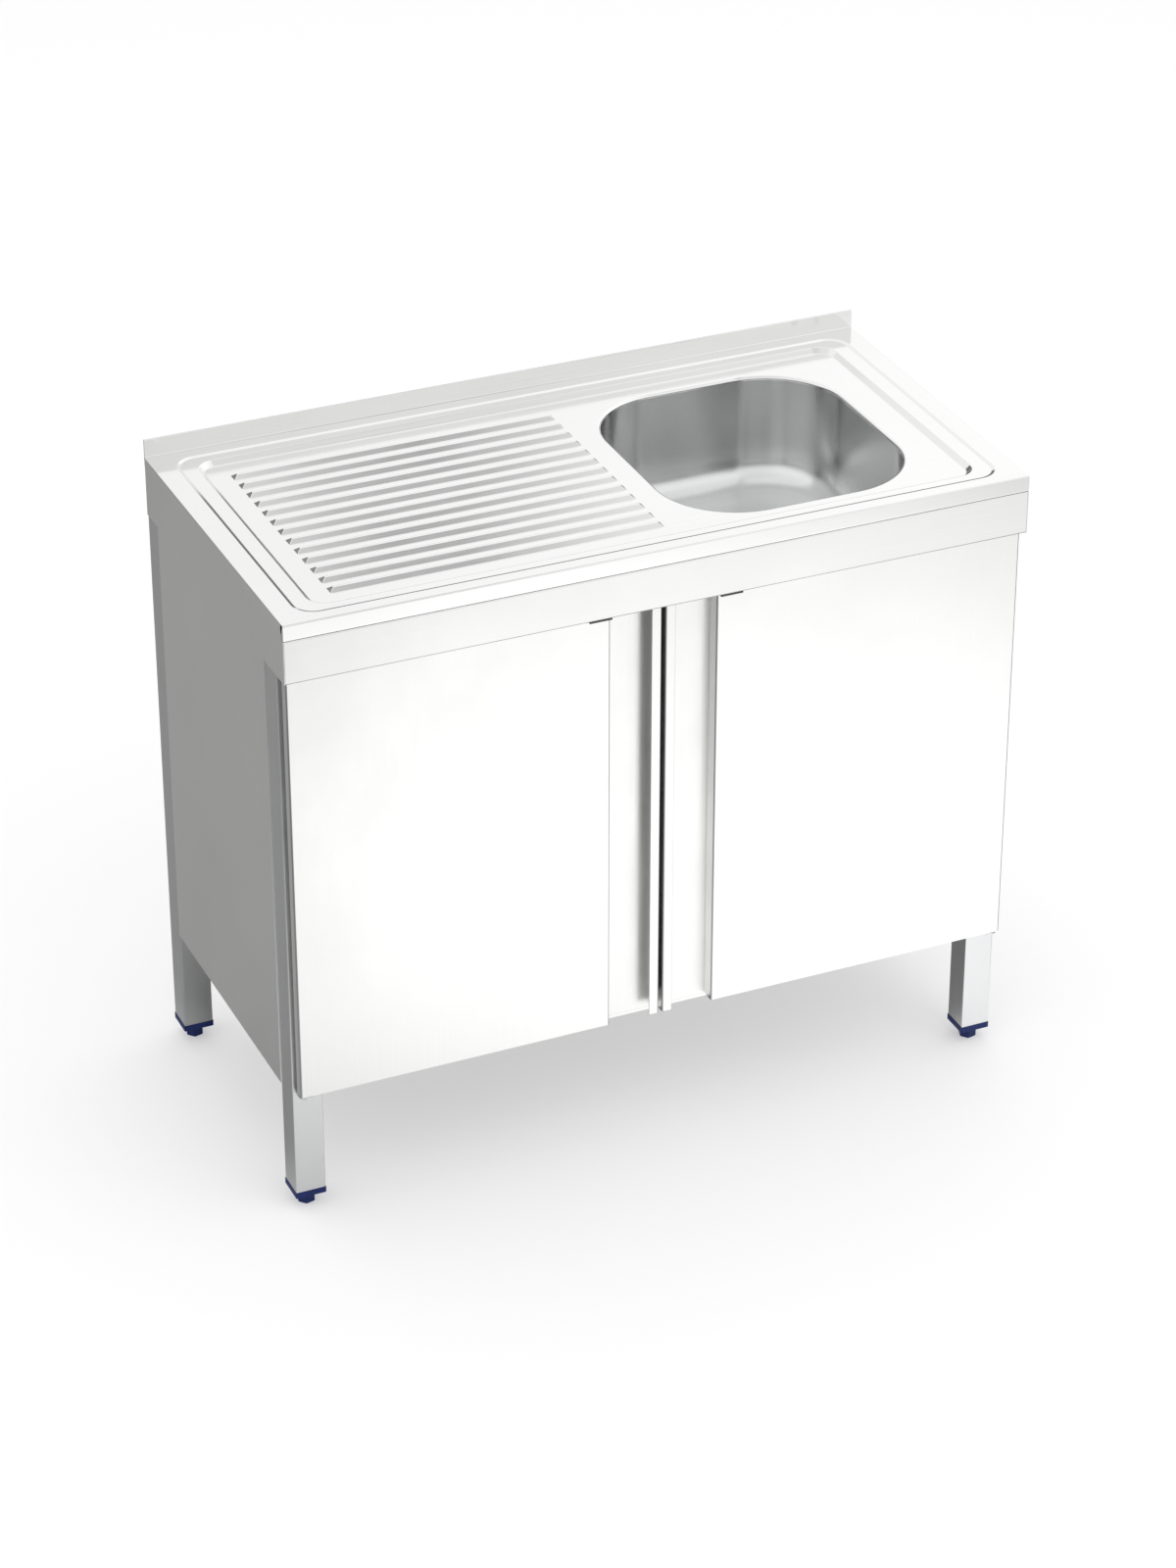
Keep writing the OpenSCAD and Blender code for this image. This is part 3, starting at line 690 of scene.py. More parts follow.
class Finish(Enum):
    """Every finish on the unit."""

    WORKTOP = SteelFinish("worktop_steel", (0.90, 0.90, 0.895), Grain.ALONG_X, roughness=0.10, smudge=0.012)
    BAND = SteelFinish("band_steel", (0.90, 0.90, 0.89), Grain.ALONG_X, roughness=0.34)
    SIDE = SteelFinish("side_steel", (0.93, 0.935, 0.92), Grain.ALONG_Z, roughness=0.36)
    DOOR = SteelFinish("door_steel", (0.91, 0.91, 0.90), Grain.ALONG_Z, roughness=0.34)
    # Painted shade: a darker copy of the door steel for the recessed grip channels and hooks.
    GRIP = SteelFinish("grip_steel", (0.87, 0.87, 0.86), Grain.ALONG_Z, roughness=0.34)
    BOWL = SteelFinish(
        "bowl_steel",
        (0.84, 0.845, 0.845),
        Grain.AROUND,
        roughness=0.23,
        streak=0.0,
        contrast=0.03,
        cloud=0.01,
        smudge=0.006,
        # Painted shade: the bowl's walls above the fillet are painted darker than its floor.
        drawn=0.27,
        painted_shade_span=(0.715, 0.765),
        stretch=0.8,
    )
    # Painted shade: a darker steel that the side and lower folds of rails and doors get in place of their
    # own.
    FOLD_SHADE_PAINT = SteelFinish("fold_shade_paint_steel", (0.42, 0.42, 0.425), Grain.ALONG_Z, roughness=0.40)
    TUBE = SteelFinish("tube_steel", (0.74, 0.745, 0.75), Grain.ALONG_Z, roughness=0.38)
    MILL = SteelFinish("mill_steel", (0.72, 0.73, 0.74), Grain.ALONG_X, roughness=0.42)
    POLISHED = SteelFinish("polished_steel", (0.86, 0.86, 0.87), Grain.AROUND, roughness=0.16, streak=0.03)
    NAVY = MouldedFinish("navy_plastic", (0.004, 0.014, 0.095), roughness=0.42, gloss=0.25)
    NYLON = MouldedFinish("natural_nylon", (0.80, 0.80, 0.76), roughness=0.40)
    BLACK = MouldedFinish("black_plastic", (0.03, 0.03, 0.032), roughness=0.40)
    RUBBER = MouldedFinish("black_rubber", (0.018, 0.018, 0.018), roughness=0.70, skin=0.4)
    MAGNET = MouldedFinish("magnet_case", (0.035, 0.035, 0.037), roughness=0.5)


class Paint:
    """Makes each finish once and puts it on pieces."""

    def __init__(self) -> None:
        """Starts with no material made."""
        self._made: dict[str, bpy.types.Material] = {}

    def of(self, finish: Finish) -> bpy.types.Material:
        """The material of a finish, made at its first use.

        Args:
            finish: The finish.

        Returns:
            The material.
        """
        if finish.name not in self._made:
            self._made[finish.name] = finish.value.make()
        return self._made[finish.name]

    def put(self, piece: Piece, finish: Finish) -> None:
        """Gives a piece one finish all over, through its material slots.

        Args:
            piece: A new piece, or a CAD node.
            finish: The finish.
        """
        material = self.of(finish)
        if not piece.material_slots:
            piece.data.materials.append(material)
        for slot in piece.material_slots:
            slot.material = material


@dataclass
class Worktop:
    """The pressed top: border, two steps, pan, ribs, the bowl's turned edge, lip and upstand.

    Attributes:
        paint: What makes its finish.
        half_width: Half the unit's width.
        front: The lip's face along Y.
        rear: The upstand's rear face along Y.
        top: The border's height.
        gauge: The sheet's thickness.
        fold: The outer radius of the folds.
        lip_height: How far the lip reaches down from the top.
        lip_depth: How far it is folded back.
        lip_fold: The radius inside the lip's return.
        lip_return: How far that return reaches up.
        upstand_height: How far the upstand rises over the border.
        upstand_thick: The upstand's thickness, two sheets.
        upstand_foot: The radius at the upstand's foot.
        upstand_tail: How far the upstand's hem reaches down behind.
        rim: The outline of the shallow outer step.
        rim_run: How far that step reaches in plan.
        rim_drop: How far it goes down.
        well: The outline of the deep inner step.
        well_run: How far that step reaches in plan.
        well_drop: How far it goes down.
        press_radius: The radius of both edges of a step.
        step_ledge: The flat strip at the foot of a pressed step.
        edge_flat: The flat strip around the bowl's turned edge.
        edge_radius: That edge's radius.
        collar: How far its collar goes down.
        draft: How far the collar leans in.
        rib_count: How many ribs the drainer has.
        rib_pitch: The spacing of the ribs along Y.
        rib_half: Half a rib's length and half its width at the pan.
        rib_middle_x: The ribs' middle along X.
        rib_height: How far a rib rises over the pan.
        rib_hip: How far a rib's hips reach in.
        rib_foot: The flat strip around a rib.
        rib_crest: Half a rib's width on top.
        rib_soft: How far a rib's edges are rounded.
        rib_shares: The share of that rounding on its hips, its long edges and its ends.
        corner_steps: Straight pieces in a corner.
        fold_steps: Straight pieces in a fold.
        return_steps: Straight pieces in the fold of the lip's return.
        hem_steps: Straight pieces over the upstand's hem.
        edge_steps: Straight pieces in the bowl's turned edge.
        end_round: The radius of the border's outer corners.
    """

    paint: Paint
    half_width: float = 0.5
    front: float = -0.25
    rear: float = 0.25
    top: float = 0.86
    gauge: float = 0.0012
    fold: float = 0.002
    lip_height: float = 0.022
    lip_depth: float = 0.008
    lip_fold: float = 0.0013
    lip_return: float = 0.009
    upstand_height: float = 0.025
    upstand_thick: float = 0.0024
    upstand_foot: float = 0.0015
    upstand_tail: float = 0.012
    rim: Outline = Outline((0.4725, 0.2305), (0.0, -0.0015), 0.030)
    rim_run: float = 0.005
    rim_drop: float = 0.0015
    well: Outline = Outline((0.4485, 0.213), (0.0, -0.001), 0.027)
    well_run: float = 0.008
    well_drop: float = 0.006
    press_radius: float = 0.002
    step_ledge: float = 0.0004
    edge_flat: float = 0.002
    edge_radius: float = 0.004
    collar: float = 0.001
    draft: float = 0.00002
    rib_count: int = 13
    rib_pitch: float = 0.028
    rib_half: Pair = (0.220, 0.0074)
    rib_middle_x: float = -0.193
    rib_height: float = 0.0047
    rib_hip: float = 0.0059
    rib_foot: float = 0.0016
    rib_crest: float = 0.0016
    rib_soft: float = 0.0012
    rib_shares: Triple = (0.45, 0.5, 0.2)
    corner_steps: int = 14
    fold_steps: int = 4
    return_steps: int = 3
    hem_steps: int = 6
    edge_steps: int = 8
    end_round: float = 0.0003

    def build(self) -> Piece:
        """Makes the whole sheet and lets it stand for the CAD node.

        Returns:
            The worktop.
        """
        shelf = self.top - self.rim_drop
        pan = shelf - self.well_drop
        border = self.border()
        rim = self.step("rim", self.rim, self.top, self.rim_run, self.rim_drop)
        well = self.step("well", self.well, shelf, self.well_run, self.well_drop)
        sheet = joined("worktop_sheet", [border, rim, well, self.turned_edge(pan), *self.ribs(pan)])
        for level in (self.top, shelf, pan):
            fill_level(sheet, level)
        self.fold_lip(sheet)
        self.fold_upstand(sheet)
        finish_sheet(sheet, self.gauge)
        self.paint.put(sheet, Finish.WORKTOP)
        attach(sheet, "cabinet")
        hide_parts("worktop")
        return sheet

    def border(self) -> Piece:
        """The outer edge of the flat border.

        Returns:
            An open ring of edges.
        """
        front, rear = self.front + self.fold, self.rear - self.upstand_thick - self.upstand_foot
        outline = Outline((self.half_width, (rear - front) / 2), (0.0, (front + rear) / 2), self.end_round)
        return opened(round_blank("border", outline, self.top, self.corner_steps))

    def step(self, name: str, outline: Outline, z: float, run: float, drop: float) -> Piece:
        """One pressed step, open inside.

        Args:
            name: The piece's name.
            outline: Its outline.
            z: The height from which it goes down.
            run: The step's reach in plan.
            drop: Its fall.

        Returns:
            The ring of sheet.
        """
        ring = round_blank(name, outline, z, self.corner_steps)
        press([*step_profile(run, drop, self.press_radius), (run + self.step_ledge, -drop)])
        return opened(ring)

    def turned_edge(self, pan: float) -> Piece:
        """The bowl opening's rounded edge with its welding collar.

        Args:
            pan: The pan's height.

        Returns:
            The ring of sheet.
        """
        flat, radius = self.edge_flat, self.edge_radius
        reach = flat + radius
        half = tuple(share + reach for share in BOWL_OPENING.half)
        outline = Outline(half, BOWL_OPENING.centre, BOWL_OPENING.radius + reach)
        ring = round_blank("turned_edge", outline, pan, self.corner_steps)
        curve = arc((flat, -radius), radius, (90.0, 0.0), self.edge_steps)
        press([(flat, 0.0), *curve, (reach + self.draft, -radius - self.collar)])
        return opened(ring)

    def ribs(self, pan: float) -> list[Piece]:
        """The drainer ribs: one hipped rib is raised from its own blank and the rest are its copies.

        Args:
            pan: The pan's height.

        Returns:
            The ribs, each with its flat foot around it.
        """
        y0 = BOWL_OPENING.centre[1] - self.rib_pitch * (self.rib_count - 1) / 2
        middle = (self.rib_middle_x, y0, pan)
        long, wide = self.rib_half
        foot = Outline((long + self.rib_foot, wide + self.rib_foot), middle[:2], 0.0)
        rib = round_blank("rib", foot, pan, 0)
        press([(self.rib_foot, 0.0)])
        draw_out(self.rib_height)
        ridge = ((long - self.rib_hip) / long, self.rib_crest / wide, 1.0)
        bpy.ops.transform.resize(value=ridge, center_override=middle)
        self.soften_rib(rib, middle)
        rest = copies(rib, [(0.0, self.rib_pitch * i, 0.0) for i in range(1, self.rib_count)])
        return [rib, *rest]

    def soften_rib(self, rib: Piece, middle: Triple) -> None:
        """Rounds the rib's ridge and long feet well, and its hips and ends less.

        Args:
            rib: The rib in edit mode, with its flat foot around it.
            middle: The rib's middle at the pan.
        """
        weight_name = "bevel_weight_edge"
        shape = bmesh.from_edit_mesh(rib.data)
        weight = shape.edges.layers.float.new(weight_name)
        for edge in shape.edges:
            a, b = (v.co for v in edge.verts)
            out = (abs(share - here) - half for share, here, half in zip((a + b) / 2, middle, self.rib_half))
            if max(out) < NEAR:
                edge[weight] = self.rib_softness(b - a)
        bmesh.update_edit_mesh(rib.data)
        close_edit()
        add_modifier(rib, "BEVEL", width=self.rib_soft, segments=4, limit_method="WEIGHT")
        rib.data.attributes.remove(rib.data.attributes[weight_name])

    def rib_softness(self, lean: Vector) -> float:
        """The share of the full rounding that a rib's edge gets.

        Args:
            lean: The edge from end to end.

        Returns:
            The share.
        """
        hip, long, end = self.rib_shares
        if abs(lean.z) > self.rib_height / 2:
            return hip
        return long if abs(lean.x) > abs(lean.y) else end

    def fold_edge(self, sheet: Piece, y: float, path: list[Pair]) -> None:
        """Draws an outer edge of the sheet out along a path, as on a folding machine.

        Args:
            sheet: The sheet.
            y: Where the edge lies along Y.
            path: The (y, z) corners that it goes through.
        """

        def on_edge(mid: Vector, lean: Vector) -> bool:
            """Whether an edge of the mesh lies there and runs along X."""
            return abs(mid.y - y) < WELD and abs(mid.z - self.top) < WELD and abs(lean.x) > 0.5

        edit_only(sheet)
        pick(sheet, "edges", on_edge)
        here = Vector((0.0, y, self.top))
        for corner in path:
            there = Vector((0.0, *corner))
            bpy.ops.mesh.extrude_edges_move(TRANSFORM_OT_translate={"value": there - here})
            here = there
        close_edit()

    def fold_lip(self, sheet: Piece) -> None:
        """Folds the front edge down, back and up into the lip, and closes its ends.

        Args:
            sheet: The sheet.
        """
        front, r, small = self.front, self.fold, self.lip_fold
        low, inner = self.top - self.lip_height, self.front + self.lip_depth
        down = arc((front + r, self.top - r), r, (90.0, 180.0), self.fold_steps)
        under = arc((front + r, low + r), r, (180.0, 270.0), self.fold_steps)
        rise = arc((inner - small, low + small), small, (-90.0, 0.0), self.return_steps)
        path = [*down, (front, low + r), *under, (inner - small, low), *rise, (inner, low + self.lip_return)]
        self.fold_edge(sheet, front + r, path)
        for side in (-1, 1):
            self.close_lip_end(sheet, side)

    def close_lip_end(self, sheet: Piece, side: int) -> None:
        """Fills the lip's open end with the welded end return.

        Args:
            sheet: The sheet.
            side: -1 at the left, 1 at the right.
        """
        end, inner = side * (self.half_width - self.end_round), self.front + self.lip_depth

        def at_end(mid: Vector, lean: Vector) -> bool:
            """Whether an edge of the mesh belongs to the lip's open end."""
            across = abs(mid.x - end) < 2 * NEAR and abs(lean.x) < 0.1 * NEAR
            return across and mid.y < inner - NEAR and mid.z < self.top - NEAR

        edit_only(sheet)
        pick(sheet, "edges", at_end)
        bpy.ops.mesh.edge_face_add()
        close_edit()

    def fold_upstand(self, sheet: Piece) -> None:
        """Folds the rear edge up, over its own hem and down behind.

        Args:
            sheet: The sheet.
        """
        foot, hem = self.upstand_foot, self.upstand_thick / 2
        face, peak = self.rear - self.upstand_thick, self.top + self.upstand_height - hem
        up = arc((face - foot, self.top + foot), foot, (-90.0, 0.0), self.fold_steps)
        over = arc((face + hem, peak), hem, (180.0, 0.0), self.hem_steps)
        path = [*up, (face, peak), *over, (self.rear, self.top - self.upstand_tail)]
        self.fold_edge(sheet, face - foot, path)


@dataclass
class Bowl:
    """The deep-drawn bowl: leaning walls, a full fillet, a floor that falls to the waste.

    Attributes:
        paint: What makes its finish.
        top: Where the wall is welded to the worktop's collar.
        floor: The height at the foot of the fillet.
        lean: How far the wall leans in.
        fillet: The radius between wall and floor.
        ledge: The floor's first strip, and how far it falls.
        fall: How far the whole floor falls.
        recess: The waste recess's depth.
        recess_fold: The radius of its folds.
        recess_radius: The recess's outer radius.
        hole_radius: The radius of the hole for the waste.
        gauge: The sheet's thickness.
        corner_steps: Straight pieces in a corner.
        wall_steps: Rings in the wall.
        fillet_steps: Straight pieces in the fillet.
        floor_rings: Rings between the fillet and the recess.
        fold_steps: Straight pieces in each of the recess's folds.
        smooth_deg: Folds flatter than this are shaded as round.
    """

    paint: Paint
    top: float = 0.8475
    floor: float = 0.7025
    lean: float = 0.002
    fillet: float = 0.036
    ledge: Pair = (0.003, 0.0001)
    fall: float = 0.004
    recess: float = 0.0035
    recess_fold: float = 0.0016
    recess_radius: float = 0.044
    hole_radius: float = 0.026
    gauge: float = 0.001
    corner_steps: int = 17
    wall_steps: int = 4
    fillet_steps: int = 12
    floor_rings: int = 6
    fold_steps: int = 4
    smooth_deg: float = 50.0

    def build(self) -> Piece:
        """Draws the bowl and lets it stand for the CAD node.

        Returns:
            The bowl.
        """
        wall = round_blank("bowl_drawn", BOWL_OPENING, self.top, self.corner_steps)
        depth, edge = self.floor - self.top, self.lean + self.fillet
        count, straight = self.wall_steps, depth + self.fillet
        rings = [(self.lean * k / count, straight * k / count) for k in range(1, count + 1)]
        turn = arc((edge, straight), self.fillet, (180.0, 270.0), self.fillet_steps)
        strip, dip = self.ledge
        press([*rings, *turn, (edge + strip, depth - dip)])
        sheet = joined("bowl_drawn", [opened(wall), self.sump()])
        edit_only(sheet)
        pick_open(sheet, self.floor - dip, self.floor - self.fall)
        bpy.ops.mesh.bridge_edge_loops(number_cuts=self.floor_rings, interpolation="LINEAR")
        close_edit()
        finish_sheet(sheet, self.gauge, self.smooth_deg)
        self.paint.put(sheet, Finish.BOWL)
        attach(sheet, "cabinet")
        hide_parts("bowl")
        return sheet

    def sump(self) -> Piece:
        """The round recess for the waste, with its hole.

        Returns:
            The recess, open above and below.
        """
        clear_selection()
        sides = 4 * (self.corner_steps + 1)
        bpy.ops.mesh.primitive_circle_add(
            vertices=sides, radius=self.recess_radius, fill_type="NGON", location=(0, 0, 0)
        )
        ring = bpy.context.object
        edit_whole(ring, "FACE")
        bpy.ops.transform.translate(value=(*BOWL_OPENING.centre, self.floor - self.fall))
        r, deep = self.recess_fold, self.recess
        upper = arc((0.0, -r), r, (90.0, 0.0), self.fold_steps)
        lower = arc((2 * r, r - deep), r, (180.0, 270.0), self.fold_steps)
        press([*upper, *lower, (self.recess_radius - self.hole_radius, -deep)])
        return opened(ring)


@dataclass
class AdjusterFeet:
    """The four screw feet: a hexagon to turn by hand and a threaded stud.

    Attributes:
        paint: What makes their finish.
        flats: The hexagon's width across its flats.
        height: The hexagon's height.
        chamfer: The slope at its foot.
        corner: How far its corners are softened.
        collar: The gap around the stud in which its collar lies, and the collar's height.
        turn_deg: How far the hexagon is turned from the unit's sides.
        stud_radius: The thread's outer radius.
        stud_top: The stud's upper end.
        pitch: The thread's pitch.
        thread: The thread's depth.
        tooth: A tooth's start, the ends of its crest and its root, as shares of the pitch.
        sunk: How far down in the hexagon the stud starts.
        sides: Straight pieces in one turn of the thread.
        rounding: How far the foot's sharp edges are rounded.
        sharp_deg: Edges sharper than this are rounded.
        places: Each foot's node and its axis in plan.
    """

    paint: Paint
    flats: float = 0.0215
    height: float = 0.018
    chamfer: float = 0.0015
    corner: float = 0.0009
    collar: Pair = (0.0024, 0.0004)
    turn_deg: float = 12.0
    stud_radius: float = 0.005
    stud_top: float = 0.056
    pitch: float = 0.002
    thread: float = 0.0007
    tooth: tuple[float, ...] = (0.0, 0.35, 0.5, 0.85, 1.0)
    sunk: float = 0.001
    sides: int = 24
    rounding: float = 0.0002
    sharp_deg: float = 40.0
    places: dict[str, Pair] = field(
        default_factory=lambda: {
            "front_left": (-0.479, -0.1984),
            "front_right": (0.479, -0.1984),
            "rear_left": (-0.479, 0.2288),
            "rear_right": (0.479, 0.2288),
        }
    )

    def build(self) -> list[Piece]:
        """Makes the four feet and lets them stand for the CAD nodes.

        Returns:
            The feet.
        """
        foot = joined("foot_model", [self.hexagon(), self.stud()])
        round_edges(foot, self.rounding, self.sharp_deg)
        self.paint.put(foot, Finish.NAVY)
        feet = copies(foot, [(x, y, 0.0) for x, y in self.places.values()])
        for place, piece in zip(self.places, feet):
            piece.name = f"foot_{place}_piece"
            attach(piece, f"adjuster_{place}")
            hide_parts(f"foot_{place}")
        bpy.data.objects.remove(foot)
        return feet

    def hexagon(self) -> Piece:
        """The hexagon with its sloped foot, softened corners and a collar on top.

        Returns:
            The hexagon.
        """
        clear_selection()
        across = self.flats / math.cos(math.radians(30.0)) / 2
        bpy.ops.mesh.primitive_cylinder_add(
            vertices=6,
            radius=across,
            depth=self.height - self.chamfer,
            location=(0.0, 0.0, (self.height + self.chamfer) / 2),
            rotation=(0.0, 0.0, math.radians(self.turn_deg - 30.0)),
        )
        block = bpy.context.object
        bpy.ops.object.transform_apply(location=True, rotation=True, scale=True)
        edit_only(block)
        pick(block, "edges", lambda mid, lean: abs(lean.z) > self.height / 2)
        bpy.ops.mesh.bevel(offset=self.corner, segments=3, affect="EDGES", profile=0.5)
        pick(block, "faces", lambda mid, lean: lean.z < -0.9)
        draw_out(-self.chamfer)
        shrink = 1.0 - self.chamfer / across
        bpy.ops.transform.resize(value=(shrink, shrink, 1.0), center_override=(0.0, 0.0, 0.0))
        pick(block, "faces", lambda mid, lean: lean.z > 0.9)
        gap, rise = self.collar
        bpy.ops.mesh.inset(thickness=self.flats / 2 - self.stud_radius - gap, use_even_offset=True)
        draw_out(rise)
        close_edit()
        return block

    def stud(self) -> Piece:
        """The stud with its thread, spun up from one tooth of its profile.

        Returns:
            The stud.
        """
        root, crest = self.stud_radius - self.thread, self.stud_radius
        low, high = self.height - self.sunk, self.stud_top - self.pitch
        clear_selection()
        bpy.ops.mesh.primitive_plane_add(size=self.pitch, location=(0.0, 0.0, 0.0))
        tooth = bpy.context.object
        edit_whole(tooth)
        bpy.ops.mesh.delete(type="VERT")
        shape = bmesh.from_edit_mesh(tooth.data)
        profile = zip((root, crest, crest, root, root), self.tooth)
        points = [shape.verts.new((radius, 0.0, low + share * self.pitch)) for radius, share in profile]
        for a, b in zip(points, points[1:]):
            shape.edges.new((a, b))
        bmesh.update_edit_mesh(tooth.data)
        close_edit()
        spun = {"screw_offset": self.pitch, "iterations": int((high - low) / self.pitch)}
        fine = {"steps": self.sides, "render_steps": self.sides}
        add_modifier(tooth, "SCREW", **spun, **fine, use_merge_vertices=True, merge_threshold=WELD / 2)
        close_stud(tooth)
        return tooth


def close_stud(tooth: Piece) -> None:
    """Closes the two ends of an open thread.

    Args:
        tooth: The thread.
    """
    edit_whole(tooth)
    bpy.ops.mesh.remove_doubles(threshold=WELD / 2)
    pick_none("EDGE")
    bpy.ops.mesh.select_non_manifold()
    bpy.ops.mesh.edge_face_add()
    bpy.ops.mesh.select_all(action="SELECT")
    bpy.ops.mesh.normals_make_consistent(inside=False)
    close_edit()


@dataclass(frozen=True)
class Dressing:
    """How a CAD piece is finished.

    Attributes:
        finish: Its finish.
        edge: How far its sharp edges are rounded.
        painted_fold_shade: Whether its side and lower folds get painted shade, a darker steel than its
            flats.
    """

    finish: Finish
    edge: float = 0.0003
    # Painted shade on the side and lower folds when set.
    painted_fold_shade: bool = False


@dataclass
class Carcass:
    """The CAD pieces whose shape is right: each gets rounded edges, smooth folds and its finish.

    Attributes:
        paint: What makes their finishes.
        fold_deg: Edges sharper than this are rounded; flatter ones belong to a fold.
        flat_deg: Faces that lean more than this belong to a fold.
        facet_deg: Faces that lie flatter to each other than this become one face.
        upwards: Faces whose normal rises more than this look up, get no painted shade and keep the piece's
            own finish.
        dressings: How the pieces are finished whose names start so.
        plain: How the others are finished.
    """

    paint: Paint
    fold_deg: float = 34.0
    flat_deg: float = 6.0
    facet_deg: float = 0.5
    upwards: float = 0.1
    dressings: dict[str, Dressing] = field(
        default_factory=lambda: {
            "front_rail": Dressing(Finish.BAND, 0.0005, painted_fold_shade=True),
            "side_panel": Dressing(Finish.SIDE, 0.0002),
            "door_skin": Dressing(Finish.DOOR, 0.0005, painted_fold_shade=True),
            "door_inner": Dressing(Finish.GRIP, 0.00045, painted_fold_shade=True),
            "leg_cap": Dressing(Finish.NAVY, 0.0006),
            "leg_": Dressing(Finish.TUBE),
            "strainer_seal": Dressing(Finish.RUBBER),
            "strainer": Dressing(Finish.POLISHED, 0.0002),
            "waste_seal": Dressing(Finish.RUBBER),
            "waste_tail": Dressing(Finish.BLACK),
            "waste_screw": Dressing(Finish.POLISHED),
            "upper_bush": Dressing(Finish.NYLON),
            "lower_bush": Dressing(Finish.NYLON),
            "upper_pin": Dressing(Finish.POLISHED),
            "lower_pin": Dressing(Finish.POLISHED),
            "magnet": Dressing(Finish.MAGNET),
            "door_buffers": Dressing(Finish.RUBBER, 0.0006),
            "bottom_shelf": Dressing(Finish.BAND, 0.0002),
        }
    )
    plain: Dressing = Dressing(Finish.MILL, 0.0002)

    def dress(self) -> list[Piece]:
        """Makes a finished piece for each CAD node that no other piece stands for.

        Returns:
            The pieces.
        """
        bodies = frame["record"]["behaviour"]["bodies"]
        pieces = []
        for name, node in sorted(frame["nodes"].items()):
            if node.hide_render:
                continue
            start = next((key for key in self.dressings if name.startswith(key)), None)
            dressing = self.dressings[start] if start else self.plain
            piece = self.finished(name, node, dressing)
            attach(piece, next(body for body, nodes in bodies.items() if name in nodes))
            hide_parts(name)
            pieces.append(piece)
        return pieces

    def finished(self, name: str, node: Piece, dressing: Dressing) -> Piece:
        """A welded copy of a CAD node with rounded edges and smooth folds.

        Args:
            name: The node's name.
            node: Its object.
            dressing: How it is finished.

        Returns:
            The new piece.
        """
        piece = bpy.data.objects.new(f"{name}_piece", node.data.copy())
        bpy.context.scene.collection.objects.link(piece)
        edit_whole(piece)
        bpy.ops.mesh.remove_doubles(threshold=WELD)
        bpy.ops.mesh.dissolve_limited(angle_limit=math.radians(self.facet_deg))
        close_edit()
        round_edges(piece, dressing.edge, self.fold_deg)
        piece.data.materials.clear()
        self.paint.put(piece, dressing.finish)
        if dressing.painted_fold_shade:
            self.paint_shade_on_folds(piece)
        return piece

    def paint_shade_on_folds(self, piece: Piece) -> None:
        """Paints shade on a piece's side and lower folds by giving them a darker steel than its flats.

        Args:
            piece: The piece, with its own finish on it.
        """
        # Painted shade: faces that lean off all axes and don't look up take the darker steel.
        piece.data.materials.append(self.paint.of(Finish.FOLD_SHADE_PAINT))
        flat = math.cos(math.radians(self.flat_deg))
        for face in piece.data.polygons:
            if max(abs(share) for share in face.normal) < flat and face.normal.z < self.upwards:
                face.material_index = 1


def aimed(name: str, data: bpy.types.ID, place: Triple, target: Triple) -> Piece:
    """Puts a lamp or a camera in the scene and turns it to a target.

    Args:
        name: Its name.
        data: The lamp's or the camera's data.
        place: Where it stands.
        target: What it faces.

    Returns:
        The new object.
    """
    made = bpy.data.objects.new(name, data)
    bpy.context.scene.collection.objects.link(made)
    made.location = place
    made.rotation_euler = (Vector(target) - Vector(place)).to_track_quat("-Z", "Y").to_euler()
    return made


